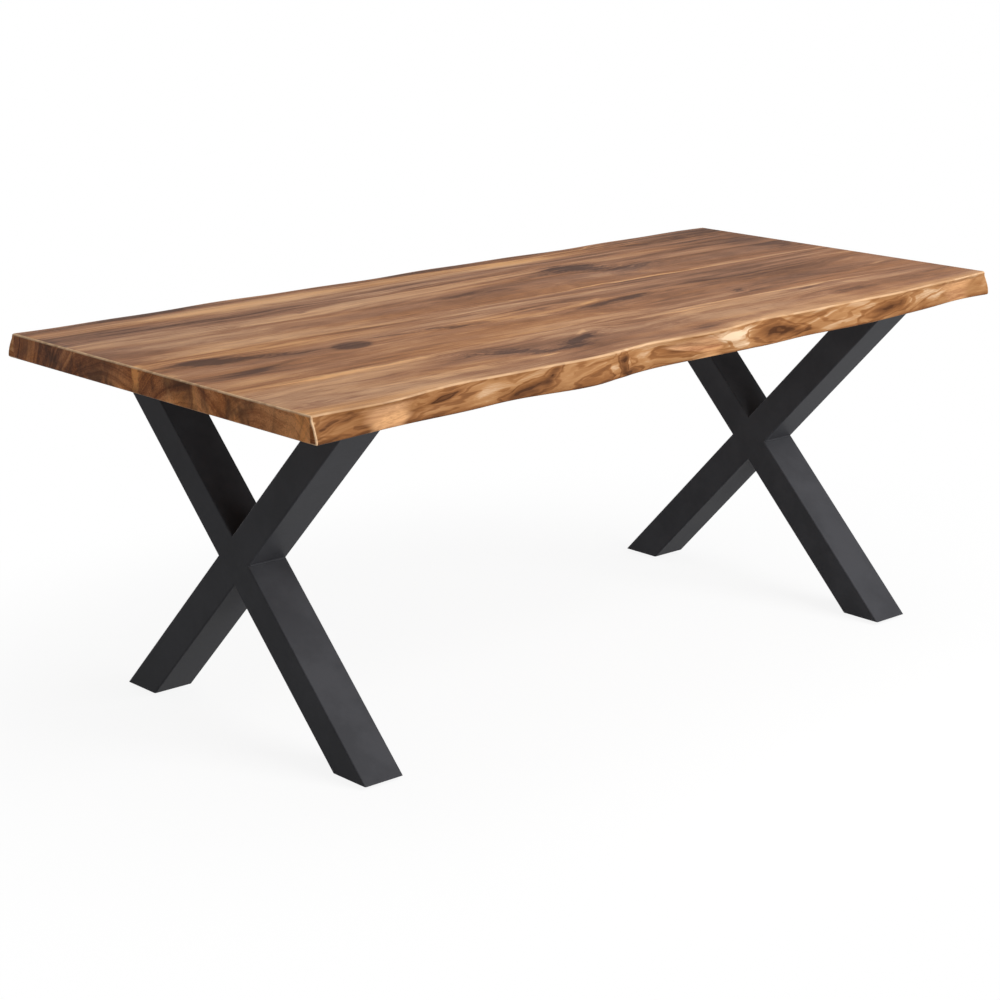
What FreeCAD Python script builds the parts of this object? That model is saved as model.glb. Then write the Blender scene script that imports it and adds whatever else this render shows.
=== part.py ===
import FreeCAD, Part
import math
import os

from FreeCAD import Vector

os.makedirs("parts", exist_ok=True)

# A dining table: a live-edge top of three edge-glued boards on two welded X-frames of steel tube.
# Millimetres. +X runs along the top to the right, +Y to the back, +Z up.
# The origin is on the floor, below the middle of the top.

# Top
table_length = 1900.0
table_height = 760.0
top_thickness = 50.0
end_chamfer = 2.0
back_seam = 57.0
front_seam = -243.0

# Live edges. The corner line is where the top face ends. It runs straight from end to end, drawn in
# by the taper towards the right end, and waves about that line. The edge then flares out below it.
# A wave is its height, its length and the place along X where it starts.
front_corner = 452.0
front_taper = 72.0
front_waves = ((9.0, 655.0, 15.0), (8.0, 565.0, 290.0), (5.0, 385.0, 135.0), (4.0, 280.0, 120.0))
front_flare = 13.0
front_flare_taper = 4.0
front_flare_waves = ((7.0, 745.0, 160.0), (6.0, 410.0, 95.0), (5.0, 273.0, 131.0))
back_corner = 469.0
back_taper = 25.0
back_waves = ((4.0, 620.0, 20.0), (2.5, 270.0, 0.0))
back_flare = 18.0
back_flare_taper = 4.0
back_flare_waves = ((4.0, 540.0, 60.0), (2.0, 210.0, 15.0))
edge_station_step = 40.0

# Dowels in the glue seams
dowel_diameter = 12.0
dowel_length = 80.0
dowel_count = 7
dowel_end_distance = 110.0
dowel_end_room = 1.5

# X-frames
frame_overhang = 190.0
frame_centre = 32.0
foot_spread = 710.0
tube_depth = 90.0
tube_width = 70.0
tube_wall = 3.0
tube_corner = 3.0
weld_leg = 4.0

# Top plate of each frame, and what holds the top on it
top_plate_thickness = 6.0
top_plate_wing = 30.0
top_plate_end = 10.0
top_plate_corner = 8.0
bolt_diameter = 8.0
bolt_length = 35.0
bolt_head_flats = 13.0
bolt_head_height = 5.3
bolt_rows = 4
bolt_end_distance = 50.0
washer_diameter = 20.0
washer_thickness = 2.0
slot_play = 8.0
insert_diameter = 12.0
insert_length = 20.0
insert_hole_room = 3.0

# Feet and levelling glides. The pad stays on the floor while the fluted base turns on it.
foot_plate_thickness = 5.0
foot_nut_flats = 13.0
foot_nut_height = 8.0
pad_diameter = 46.0
pad_thickness = 2.0
pad_chamfer = 0.5
pad_pin_diameter = 12.0
pad_pin_height = 1.0
glide_diameter = 50.0
glide_thickness = 5.0
glide_chamfer = 1.0
glide_flute_count = 12
glide_flute_diameter = 6.0
glide_flute_depth = 1.5
glide_stud_diameter = 8.0
glide_stud_length = 25.0
glide_stud_depth = 2.5

# Clearances, on the radius for round fits
thread_clearance = 0.1
glued_clearance = 0.05
pad_pin_clearance = 0.1
hole_clearance = 0.5
glide_gap = 0.3
pad_pin_gap = 0.3

# Levels and places that follow from the sizes above
half_length = table_length / 2.0
top_underside = table_height - top_thickness
tube_top = top_underside - top_plate_thickness
glide_top = pad_thickness + glide_thickness
foot_plate_underside = glide_top + glide_gap
tube_bottom = foot_plate_underside + foot_plate_thickness
crossing_height = top_underside / 2.0
frame_place = half_length - frame_overhang - tube_depth / 2.0
leg_angle = math.atan2(top_underside, foot_spread)
leg_length = math.hypot(top_underside, foot_spread)
foot_length = tube_width / math.sin(leg_angle)
top_plate_width = tube_depth + 2.0 * top_plate_wing
top_plate_length = foot_spread + foot_length + 2.0 * top_plate_end
bolt_column = (tube_depth + top_plate_wing) / 2.0
bolt_row_step = (top_plate_length - 2.0 * bolt_end_distance) / (bolt_rows - 1)
bolt_seat = tube_top - washer_thickness
dowel_height = top_underside + top_thickness / 2.0
dowel_step = (table_length - 2.0 * dowel_end_distance) / (dowel_count - 1)
beyond = max(table_length, table_height)

along_x = Vector(1, 0, 0)
along_y = Vector(0, 1, 0)
along_z = Vector(0, 0, 1)


# General shapes

def block(x0, x1, y0, y1, z0, z1):
    return Part.makeBox(x1 - x0, y1 - y0, z1 - z0, Vector(x0, y0, z0))


def layer(z0, z1):
    return block(-beyond, beyond, -beyond, beyond, z0, z1)


def rod(diameter, place, direction, length):
    return Part.makeCylinder(diameter / 2.0, length, place, direction)


def hexagon(flats, x, y, z0, height):
    radius = flats / math.sqrt(3.0)
    corners = []
    for index in range(7):
        turn = math.radians(60.0 * index)
        corners.append(Vector(x + radius * math.cos(turn), y + radius * math.sin(turn), z0))
    return Part.Face(Part.makePolygon(corners)).extrude(along_z * height)


def wedge(corner, first, second, run):
    outline = Part.makePolygon([corner, corner + first, corner + second, corner])
    return Part.Face(outline).extrude(run)


def cut_all(shape, tools):
    for tool in tools:
        shape = shape.cut(tool)
    return shape


def keep(name, shapes):
    solids = []
    for shape in shapes:
        solids.extend(shape.Solids)
    for solid in solids:
        assert solid.isValid(), name
    whole = solids[0] if len(solids) == 1 else Part.makeCompound(solids)
    whole.exportStep("parts/" + name + ".step")


# Top boards

def wave_sum(waves, x):
    total = 0.0
    for height, length, start in waves:
        total += height * math.sin(2.0 * math.pi * (x - start) / length)
    return total


def front_edge(x, drop):
    corner = -front_corner + front_taper * x / table_length + wave_sum(front_waves, x)
    flare = front_flare - front_flare_taper * x / table_length + wave_sum(front_flare_waves, x)
    return corner - flare * math.sin(drop * math.pi / 2.0)


def back_edge(x, drop):
    corner = back_corner - back_taper * x / table_length + wave_sum(back_waves, x)
    flare = back_flare - back_flare_taper * x / table_length + wave_sum(back_flare_waves, x)
    return corner + flare * math.sin(drop * math.pi / 2.0)


def edge_waste(edge, outward):
    # What is sawn away outside a live edge. The edge's surface runs past the board all round.
    half_count = math.ceil(half_length / edge_station_step) + 1
    grid = []
    for index in range(-half_count, half_count + 1):
        x = index * edge_station_step
        line = []
        for drop in (-0.2, 0.15, 0.5, 0.85, 1.2):
            line.append(Vector(x, edge(x, drop), table_height - drop * top_thickness))
        grid.append(line)
    surface = Part.BSplineSurface()
    surface.interpolate(grid)
    return surface.toShape().extrude(along_y * (outward * beyond))


def end_wastes():
    wastes = []
    run = along_y * (2.0 * beyond)
    for side in (-1, 1):
        inward = along_x * (-side * end_chamfer)
        for z, lean in ((table_height, -1), (top_underside, 1)):
            corner = Vector(side * half_length, -beyond, z)
            wastes.append(wedge(corner, inward, along_z * (lean * end_chamfer), run))
    return wastes


def bolt_places():
    places = []
    for column in (-1, 1):
        for row in range(bolt_rows):
            offset = (row - (bolt_rows - 1) / 2.0) * bolt_row_step
            places.append((column * bolt_column, frame_centre + offset))
    return places


def insert_holes():
    holes = []
    depth = bolt_seat + bolt_length + insert_hole_room - top_underside
    for side in (-1, 1):
        for x, y in bolt_places():
            mouth = Vector(side * frame_place + x, y, top_underside)
            holes.append(rod(insert_diameter + 2.0 * glued_clearance, mouth, along_z, insert_length))
            holes.append(rod(bolt_diameter + 2.0 * hole_clearance, mouth, along_z, depth))
    return holes


def dowels(seam, room, clearance):
    shapes = []
    length = dowel_length + 2.0 * room
    for index in range(dowel_count):
        x = (index - (dowel_count - 1) / 2.0) * dowel_step
        end = Vector(x, seam - length / 2.0, dowel_height)
        shapes.append(rod(dowel_diameter + 2.0 * clearance, end, along_y, length))
    return shapes


def build_top():
    common_cuts = end_wastes() + insert_holes()
    back_holes = dowels(back_seam, dowel_end_room, glued_clearance)
    front_holes = dowels(front_seam, dowel_end_room, glued_clearance)
    back = block(-half_length, half_length, back_seam, beyond / 2.0, top_underside, table_height)
    back = back.cut(edge_waste(back_edge, 1))
    keep("back_board", [cut_all(back, common_cuts + back_holes)])
    middle = block(-half_length, half_length, front_seam, back_seam, top_underside, table_height)
    keep("middle_board", [cut_all(middle, common_cuts + back_holes + front_holes)])
    front = block(-half_length, half_length, -beyond / 2.0, front_seam, top_underside, table_height)
    front = front.cut(edge_waste(front_edge, -1))
    keep("front_board", [cut_all(front, common_cuts + front_holes)])
    keep("board_dowels", dowels(back_seam, 0.0, 0.0) + dowels(front_seam, 0.0, 0.0))


# X-frames. A leg leans +1 when its foot is at the back and its head at the front, and -1 the other way.

def leg_direction(lean):
    return Vector(0, -lean * math.cos(leg_angle), math.sin(leg_angle))


def leg_place(lean, z):
    return frame_centre - lean * (z - crossing_height) / math.tan(leg_angle)


def leg_bar(side, lean, depth, width, corner):
    length = leg_length + 4.0 * tube_width
    bar = block(-depth / 2.0, depth / 2.0, -width / 2.0, width / 2.0, -length / 2.0, length / 2.0)
    long_edges = [edge for edge in bar.Edges if edge.Length > length / 2.0]
    bar = bar.makeFillet(corner, long_edges)
    bar.rotate(Vector(0, 0, 0), along_x, lean * (90.0 - math.degrees(leg_angle)))
    bar.translate(Vector(side * frame_place, frame_centre, crossing_height))
    return bar


def leg_outside(side, lean):
    return leg_bar(side, lean, tube_depth, tube_width, tube_corner)


def leg_tube(side, lean):
    inner_corner = max(tube_corner - tube_wall, tube_wall / 6.0)
    bore = leg_bar(side, lean, tube_depth - 2.0 * tube_wall, tube_width - 2.0 * tube_wall, inner_corner)
    return leg_outside(side, lean).cut(bore).common(layer(tube_bottom, tube_top))


def crossing_welds(side):
    centre = Vector(side * frame_place - tube_depth / 2.0 + tube_corner, frame_centre, crossing_height)
    run = along_x * (tube_depth - 2.0 * tube_corner)
    one = leg_direction(-1)
    two = leg_direction(1)
    half = tube_width / 2.0 / math.sin(2.0 * leg_angle)
    shapes = []
    for first in (-1, 1):
        for second in (-1, 1):
            corner = centre + one * (first * half) + two * (second * half)
            shapes.append(wedge(corner, one * (first * weld_leg), two * (second * weld_leg), run))
    return shapes


def head_welds(side, lean):
    x = side * frame_place
    y = leg_place(lean, tube_top)
    down = leg_direction(lean) * -weld_leg
    half_depth = tube_depth / 2.0
    margin = tube_corner + 2.0 * weld_leg
    cross_run = along_x * (tube_depth - 2.0 * tube_corner)
    side_run = along_y * (foot_length - 2.0 * margin)
    shapes = []
    for way in (-1, 1):
        corner = Vector(x - half_depth + tube_corner, y + way * foot_length / 2.0, tube_top)
        shapes.append(wedge(corner, along_y * (way * weld_leg), down, cross_run))
        corner = Vector(x + way * half_depth, y - foot_length / 2.0 + margin, tube_top)
        shapes.append(wedge(corner, along_x * (way * weld_leg), along_z * -weld_leg, side_run))
    return shapes


def bolt_slot(x, y):
    diameter = bolt_diameter + 2.0 * hole_clearance
    half = slot_play / 2.0
    bottom = Vector(x, y - half, tube_top)
    top = Vector(x, y + half, tube_top)
    middle = block(x - diameter / 2.0, x + diameter / 2.0, y - half, y + half, tube_top, top_underside)
    ends = [rod(diameter, place, along_z, top_plate_thickness) for place in (bottom, top)]
    return middle.fuse(ends)


def top_plate(side):
    x = side * frame_place
    half_width = top_plate_width / 2.0
    half_reach = top_plate_length / 2.0
    plate = block(
        x - half_width, x + half_width, frame_centre - half_reach, frame_centre + half_reach,
        tube_top, top_underside,
    )
    upright = [edge for edge in plate.Edges if abs(edge.tangentAt(edge.FirstParameter).z) > 0.5]
    plate = plate.makeFillet(top_plate_corner, upright)
    return cut_all(plate, [bolt_slot(x + dx, y) for dx, y in bolt_places()])


def top_bolt(x, y):
    head = hexagon(bolt_head_flats, x, y, bolt_seat - bolt_head_height, bolt_head_height)
    shank = rod(bolt_diameter, Vector(x, y, bolt_seat), along_z, bolt_length)
    return head.fuse(shank)


def top_washer(x, y):
    place = Vector(x, y, bolt_seat)
    outer = rod(washer_diameter, place, along_z, washer_thickness)
    return outer.cut(rod(bolt_diameter + 2.0 * hole_clearance, place, along_z, washer_thickness))


def wood_insert(x, y):
    place = Vector(x, y, top_underside)
    outer = rod(insert_diameter, place, along_z, insert_length)
    return outer.cut(rod(bolt_diameter + 2.0 * thread_clearance, place, along_z, insert_length))


def foot_centre(side, lean):
    return Vector(side * frame_place, leg_place(lean, foot_plate_underside), 0)


def foot_plate(side, lean):
    plate = leg_outside(side, lean).common(layer(foot_plate_underside, tube_bottom))
    hole = rod(glide_stud_diameter + 2.0 * hole_clearance, foot_centre(side, lean), along_z, tube_bottom)
    return plate.cut(hole)


def foot_nut(side, lean):
    centre = foot_centre(side, lean)
    nut = hexagon(foot_nut_flats, centre.x, centre.y, tube_bottom, foot_nut_height)
    bore = rod(glide_stud_diameter + 2.0 * thread_clearance, centre, along_z, tube_bottom + foot_nut_height)
    return nut.cut(bore)


def build_frame(name, side):
    # The two short tubes are coped to the long one, so that their outer faces are flush at the crossing.
    long_tube = leg_tube(side, -1)
    halves = leg_tube(side, 1).cut(leg_outside(side, -1)).Solids
    lower, upper = sorted(halves, key=lambda solid: solid.CenterOfMass.z)
    keep(name + "_long_leg", [long_tube])
    keep(name + "_lower_leg", [lower])
    keep(name + "_upper_leg", [upper])
    keep(name + "_top_plate", [top_plate(side)])
    keep(name + "_welds", crossing_welds(side) + head_welds(side, -1) + head_welds(side, 1))
    places = [(side * frame_place + x, y) for x, y in bolt_places()]
    keep(name + "_top_bolts", [top_bolt(x, y) for x, y in places])
    keep(name + "_top_washers", [top_washer(x, y) for x, y in places])
    keep(name + "_wood_inserts", [wood_insert(x, y) for x, y in places])
    keep(name + "_foot_nuts", [foot_nut(side, lean) for lean in (-1, 1)])
    for end, lean in (("front", -1), ("rear", 1)):
        keep(name + "_" + end + "_foot_plate", [foot_plate(side, lean)])


# Levelling glides

def chamfered_disc(diameter, thickness, chamfer, place):
    disc = rod(diameter, place, along_z, thickness)
    rims = [edge for edge in disc.Edges if isinstance(edge.Curve, Part.Circle)]
    return disc.makeChamfer(chamfer, rims)


def glide_pad(centre):
    disc = chamfered_disc(pad_diameter, pad_thickness, pad_chamfer, centre)
    return disc.fuse(rod(pad_pin_diameter, centre, along_z, pad_thickness + pad_pin_height))


def glide_base(centre):
    bottom = centre + along_z * pad_thickness
    base = chamfered_disc(glide_diameter, glide_thickness, glide_chamfer, bottom)
    flute_ring = (glide_diameter + glide_flute_diameter) / 2.0 - glide_flute_depth
    cuts = []
    for index in range(glide_flute_count):
        turn = 2.0 * math.pi * index / glide_flute_count
        place = bottom + Vector(flute_ring * math.cos(turn), flute_ring * math.sin(turn), 0)
        cuts.append(rod(glide_flute_diameter, place, along_z, glide_thickness))
    pin_room = pad_pin_height + pad_pin_gap
    cuts.append(rod(pad_pin_diameter + 2.0 * pad_pin_clearance, bottom, along_z, pin_room))
    socket = centre + along_z * (glide_top - glide_stud_depth)
    cuts.append(rod(glide_stud_diameter + 2.0 * glued_clearance, socket, along_z, glide_stud_depth))
    return cut_all(base, cuts)


def glide_stud(centre):
    bottom = centre + along_z * (glide_top - glide_stud_depth)
    return rod(glide_stud_diameter, bottom, along_z, glide_stud_depth + glide_stud_length)


def build_glides(name, side):
    for end, lean in (("front", -1), ("rear", 1)):
        centre = foot_centre(side, lean)
        keep(name + "_" + end + "_glide_pad", [glide_pad(centre)])
        keep(name + "_" + end + "_glide_base", [glide_base(centre)])
        keep(name + "_" + end + "_glide_stud", [glide_stud(centre)])


build_top()
for frame_name, frame_side in (("left", -1), ("right", 1)):
    build_frame(frame_name, frame_side)
    build_glides(frame_name, frame_side)
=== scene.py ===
import math
from contextlib import contextmanager

import bmesh
import bpy
from bpy.props import FloatProperty, FloatVectorProperty, PointerProperty
from mathutils import Matrix, Vector, noise


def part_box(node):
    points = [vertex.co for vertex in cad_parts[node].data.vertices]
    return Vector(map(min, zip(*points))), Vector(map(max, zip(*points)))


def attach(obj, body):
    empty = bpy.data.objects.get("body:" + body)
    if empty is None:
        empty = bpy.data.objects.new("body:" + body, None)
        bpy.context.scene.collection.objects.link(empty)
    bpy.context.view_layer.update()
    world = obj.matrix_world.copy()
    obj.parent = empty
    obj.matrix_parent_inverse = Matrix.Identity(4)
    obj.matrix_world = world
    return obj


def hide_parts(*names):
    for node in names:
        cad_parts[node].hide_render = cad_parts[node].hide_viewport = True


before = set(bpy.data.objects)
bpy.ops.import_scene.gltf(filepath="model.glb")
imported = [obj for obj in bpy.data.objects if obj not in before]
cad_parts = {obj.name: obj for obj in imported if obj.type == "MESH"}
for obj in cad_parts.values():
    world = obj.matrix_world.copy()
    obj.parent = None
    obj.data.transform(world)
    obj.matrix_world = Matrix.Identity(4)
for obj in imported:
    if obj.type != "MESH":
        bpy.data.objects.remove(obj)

# A live-edge dining table on two welded X-frames, modelled around its CAD frame.
# Metres. +X runs along the top to the right, +Y to the back, +Z up, and the floor is at z 0.

bl_info = {
    "name": "Live-edge dining table",
    "version": (1, 0, 0),
    "blender": (4, 5, 0),
    "location": "View3D > Sidebar > Table",
    "description": "Models a live-edge dining table on two steel X-frames around its CAD frame",
    "category": "Object",
}

MM = 0.001
CLOSE = 1e-6
NEAR = 0.1 * MM
X, Y, Z = range(3)
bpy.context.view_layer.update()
SIDES = (("left", -1), ("right", 1))
ENDS = (("front", -1), ("rear", 1))


def corners(node):
    """The lowest and the highest corner of a CAD node."""
    low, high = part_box(node)
    return Vector(low), Vector(high)


# Places and sizes read from the CAD nodes
MIDDLE_LOW, MIDDLE_HIGH = corners("middle_board")
PLATE_LOW, PLATE_HIGH = corners("left_top_plate")
LEG_LOW, LEG_HIGH = corners("left_long_leg")
BOLT_LOW, BOLT_HIGH = corners("left_top_bolts")
WASHER_LOW, WASHER_HIGH = corners("left_top_washers")

HALF_LENGTH = MIDDLE_HIGH.x
TOP_FACE = MIDDLE_HIGH.z
UNDERSIDE = MIDDLE_LOW.z
THICKNESS = TOP_FACE - UNDERSIDE
BACK_SEAM = MIDDLE_HIGH.y
FRONT_SEAM = MIDDLE_LOW.y

LEG_ANGLE = math.radians(45.0)
FRAME_PLACE = -(PLATE_LOW.x + PLATE_HIGH.x) / 2.0
FRAME_CENTRE = (PLATE_LOW.y + PLATE_HIGH.y) / 2.0
CROSSING = UNDERSIDE / 2.0
TUBE_DEPTH = LEG_HIGH.x - LEG_LOW.x
TUBE_WIDTH = ((LEG_HIGH.y - LEG_LOW.y) - (LEG_HIGH.z - LEG_LOW.z)) * math.sin(LEG_ANGLE)
TUBE_TOP = LEG_HIGH.z
TUBE_BOTTOM = LEG_LOW.z
FOOT_LENGTH = TUBE_WIDTH / math.sin(LEG_ANGLE)
BOLT_SEAT = WASHER_LOW.z

# Sizes that the nodes' boxes don't give
TUBE_WALL = 3.0 * MM
LEAST_CORNER = 0.5 * MM
COPE_ROOM = 0.06 * MM
PLATE_CORNER = 8.0 * MM
PLATE_EASE = 0.5 * MM
STUD_HOLE = 9.0 * MM
FOOT_EASE = 0.4 * MM
BOLT_DIAMETER = 8.0 * MM
BOLT_FLATS = 13.0 * MM
HEAD_ROUND = 1.156 * BOLT_FLATS
HEAD_CHAMFER = 0.9 * MM
HEAD_EASE = 0.15 * MM
TIP_CHAMFER = 0.8 * MM
WASHER_DIAMETER = 20.0 * MM
WASHER_EASE = 0.25 * MM
BOLT_HOLE = 9.0 * MM
SLOT_PLAY = 8.0 * MM
BOLT_COLUMN = 60.0 * MM
BOLT_ROWS = (-364.5 * MM, -121.5 * MM, 121.5 * MM, 364.5 * MM)
DRILL_START = 10.0 * MM
DRILL_LENGTH = 30.0 * MM

# Weld beads: their size, how far they stand out of the corner, and how they thin out at ripples and tips
WELD_LEG = 4.0 * MM
BEAD_RADIUS = 0.70 * WELD_LEG
BEAD_LIFT = 0.12 * WELD_LEG
BEAD_TAPER = 0.55 * BEAD_RADIUS
RIPPLE_SHARE = 0.35

# How finely the pieces are divided
EDGE_STATIONS = 200
EDGE_STEPS = 4
SEAM_STEPS = 2
COARSE_CUTS = 24
ACROSS_CUTS = 9
LIVE_CUTS = (25, 19)
PLAIN_CUTS = (7, 7)
CORNER_STEPS = 6
EASE_STEPS = 2
ROUND_SIDES = 48
HOLE_SIDES = 32
ROD_SIDES = 24
BEAD_SIDES = 14
RIPPLE_CUTS = 4.0
MOST_CUTS = 100


class LiveEdge:
    """A live edge: its corner line, and how far it flares out from there to the underside.

    A wave is its height, its length and the place along X where it starts, in millimetres.
    """

    def __init__(self, way, corner, taper, waves, flare, flare_taper, flare_waves):
        self.way = way
        self.corner = corner
        self.taper = taper
        self.waves = waves
        self.flare = flare
        self.flare_taper = flare_taper
        self.flare_waves = flare_waves

    @staticmethod
    def wave_sum(waves, x):
        return sum(high * math.sin(2.0 * math.pi * (x - start) / long) for high, long, start in waves)

    def reach(self, x, drop):
        """Distance of the edge from the table's middle line, at a drop of 0 (top) to 1 (underside)."""
        along = x / MM
        share = along / (2.0 * HALF_LENGTH / MM)
        corner = self.corner - self.taper * share + self.wave_sum(self.waves, along)
        flare = self.flare - self.flare_taper * share + self.wave_sum(self.flare_waves, along)
        return (corner + flare * math.sin(drop * math.pi / 2.0)) * MM


FRONT_EDGE = LiveEdge(
    -1, 452.0, 72.0,
    ((-9.0, 655.0, 15.0), (-8.0, 565.0, 290.0), (-5.0, 385.0, 135.0), (-4.0, 280.0, 120.0)),
    13.0, 4.0, ((7.0, 745.0, 160.0), (6.0, 410.0, 95.0), (5.0, 273.0, 131.0)),
)
BACK_EDGE = LiveEdge(
    1, 469.0, 25.0, ((4.0, 620.0, 20.0), (2.5, 270.0, 0.0)),
    18.0, 4.0, ((4.0, 540.0, 60.0), (2.0, 210.0, 15.0)),
)

# Folds in the live edges: place along X, height, half length and half width in metres, then the depth in
# millimetres (below 0 it swells out) and the tilt
FRONT_FOLDS = (
    (-0.690, 0.730, 0.110, 0.007, 2.0, 0.11), (-0.450, 0.728, 0.060, 0.008, 2.6, 0.16),
    (-0.300, 0.722, 0.060, 0.012, -1.5, 0.0), (-0.198, 0.738, 0.012, 0.022, -2.6, 0.0),
    (-0.235, 0.735, 0.018, 0.020, 2.0, 0.0), (-0.010, 0.736, 0.080, 0.006, 4.2, -0.09),
    (-0.020, 0.724, 0.090, 0.009, -2.0, -0.03), (0.110, 0.738, 0.030, 0.016, -2.4, 0.0),
    (0.165, 0.733, 0.014, 0.018, 3.4, 0.0), (0.245, 0.728, 0.060, 0.012, 2.4, -0.10),
    (0.560, 0.736, 0.090, 0.008, 1.6, 0.05), (-0.860, 0.726, 0.050, 0.010, 1.8, 0.14),
)
BACK_FOLDS = (
    (-0.620, 0.732, 0.090, 0.008, 1.6, 0.08), (-0.180, 0.736, 0.060, 0.008, 2.0, -0.10),
    (0.150, 0.726, 0.100, 0.010, 1.8, 0.05), (0.480, 0.735, 0.050, 0.012, 2.2, 0.0),
    (0.740, 0.728, 0.080, 0.008, 1.6, -0.06),
)


# Settings

def length_setting(name, description, default, least, most):
    return FloatProperty(
        name=name, description=description, default=default * MM,
        min=least * MM, max=most * MM, unit="LENGTH",
    )


def share_setting(name, description, default, most):
    return FloatProperty(
        name=name, description=description, default=default, min=0.0, max=most, subtype="FACTOR",
    )


def power_setting(name, description, default):
    return FloatProperty(name=name, description=description, default=default, min=0.0, unit="POWER")


def colour_setting(name, description, default):
    return FloatVectorProperty(
        name=name, description=description, default=default,
        size=3, min=0.0, max=1.0, subtype="COLOR",
    )


class TopSettings(bpy.types.PropertyGroup):
    """Sizes and colours of the live-edge top."""

    eased_edge: length_setting("Eased edge", "Rounding of the top's outer edges", 4.0, 0.5, 6.0)
    seam_ease: length_setting("Seam ease", "Rounding of the edges along the glue seams", 0.35, 0.1, 1.0)
    edge_relief: share_setting("Edge relief", "Depth of the folds in the live edges, as a share", 1.6, 2.5)
    heartwood: colour_setting("Heartwood", "Main brown of the boards", (0.300, 0.134, 0.063))
    dark_wood: colour_setting("Dark wood", "Dark streaks and smoky knots", (0.088, 0.037, 0.020))
    light_wood: colour_setting("Light wood", "Light streaks between the darker ones", (0.560, 0.310, 0.152))
    sapwood: colour_setting("Sapwood", "Golden outer wood of the live edges", (0.360, 0.180, 0.074))
    # Colour of the painted highlight along the eased edges, where light catches them
    edge_highlight: colour_setting("Edge highlight", "Pale wood of the eased edges", (0.860, 0.580, 0.350))
    end_grain: colour_setting("End grain", "Tint that the oil gives the sawn ends", (1.00, 0.80, 0.62))


class FrameSettings(bpy.types.PropertyGroup):
    """Sizes and colours of the welded X-frames."""

    tube_corner: length_setting("Tube corner", "Outer corner radius of the tubes", 3.0, 1.0, 8.0)
    weld_ripple: length_setting("Weld ripple", "Distance between the ripples of a weld bead", 2.4, 1.0, 5.0)
    coat: colour_setting("Powder coat", "Satin black of the frames", (0.0515, 0.0519, 0.0570))


class FittingSettings(bpy.types.PropertyGroup):
    """Colours of the fasteners and glides."""

    zinc: colour_setting("Zinc", "Plating of the bolts, washers, nuts and studs", (0.60, 0.60, 0.58))
    brass: colour_setting("Brass", "Threaded inserts", (0.72, 0.52, 0.24))
    nylon: colour_setting("Nylon", "Fluted bases of the glides", (0.030, 0.030, 0.032))
    rubber: colour_setting("Rubber", "Pads below the glides", (0.045, 0.045, 0.045))
    dowel: colour_setting("Dowel", "Raw beech of the dowels", (0.55, 0.38, 0.22))


class StageSettings(bpy.types.PropertyGroup):
    """The plain floor and the studio light."""

    key: power_setting("Key light", "Power of the soft light at the front", 236.0)
    front_fill: power_setting("Front fill", "Power of the low, soft light at the front", 62.0)
    back_fill: power_setting("Back fill", "Power of the low, soft light at the back", 55.0)
    overhead: power_setting("Overhead light", "Power of the soft light above", 40.0)
    surround: share_setting("Surround", "Strength of the light from all round", 0.25, 2.0)
    floor: colour_setting("Floor", "Colour of the floor", (0.45, 0.45, 0.45))
    floor_glow: share_setting("Floor glow", "How far the floor's shadows are lifted to white", 0.89, 1.0)


# Modelling

def only(piece):
    """Leaves one piece selected and active."""
    bpy.ops.object.select_all(action="DESELECT")
    piece.select_set(True)
    bpy.context.view_layer.objects.active = piece


@contextmanager
def editing(piece):
    """Edit mode on one piece, with nothing selected at first."""
    only(piece)
    bpy.ops.object.mode_set(mode="EDIT")
    bpy.ops.mesh.select_all(action="DESELECT")
    yield
    bpy.ops.object.mode_set(mode="OBJECT")


def name_piece(piece, name):
    piece.name = name
    piece.data.name = name
    return piece


def set_down(piece, place, turn=(0.0, 0.0, 0.0), scale=(1.0, 1.0, 1.0)):
    """Puts a piece in its place, and its place into its mesh."""
    piece.rotation_mode = "XYZ"
    piece.location = place
    piece.rotation_euler = turn
    piece.scale = scale
    only(piece)
    bpy.ops.object.transform_apply(location=True, rotation=True, scale=True)
    return piece


def add_block(name, low, high):
    low = Vector(low)
    high = Vector(high)
    bpy.ops.object.select_all(action="DESELECT")
    bpy.ops.mesh.primitive_cube_add(size=1.0)
    piece = name_piece(bpy.context.object, name)
    return set_down(piece, (low + high) / 2.0, scale=high - low)


def add_rod(name, diameter, place, length, sides):
    """A cylinder that stands on place."""
    bpy.ops.object.select_all(action="DESELECT")
    bpy.ops.mesh.primitive_cylinder_add(vertices=sides, radius=diameter / 2.0, depth=length)
    piece = name_piece(bpy.context.object, name)
    return set_down(piece, Vector(place) + Vector((0.0, 0.0, length / 2.0)))


def select_edges(piece, wanted):
    bpy.ops.mesh.select_mode(type="EDGE")
    bpy.ops.mesh.select_all(action="DESELECT")
    shape = bmesh.from_edit_mesh(piece.data)
    for edge in shape.edges:
        if wanted(edge.verts[0].co, edge.verts[1].co):
            edge.select_set(True)
    bmesh.update_edit_mesh(piece.data)


def runs_along(axis, least):
    """A test for edges that run along an axis for at least that length."""
    others = [index for index in range(3) if index != axis]

    def test(one, two):
        gap = two - one
        return abs(gap[axis]) > least and all(abs(gap[index]) < CLOSE for index in others)

    return test


def divide(piece, axis, least, cuts):
    """Cuts the edges that run along an axis for at least that length."""
    select_edges(piece, runs_along(axis, least))
    bpy.ops.mesh.subdivide(number_cuts=cuts)


def bevel(width, segments):
    bpy.ops.mesh.bevel(
        offset_type="OFFSET", offset=width, segments=segments, profile=0.5, affect="EDGES",
        clamp_overlap=False,
    )


def cut_off(piece, place, outward):
    """Cuts away what lies beyond a plane, and closes the cut."""
    with editing(piece):
        bpy.ops.mesh.select_all(action="SELECT")
        bpy.ops.mesh.bisect(
            plane_co=place, plane_no=outward, use_fill=True, clear_outer=True, threshold=CLOSE,
        )


def apply_modifier(piece, modifier):
    only(piece)
    bpy.ops.object.modifier_apply(modifier=modifier.name)


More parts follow.
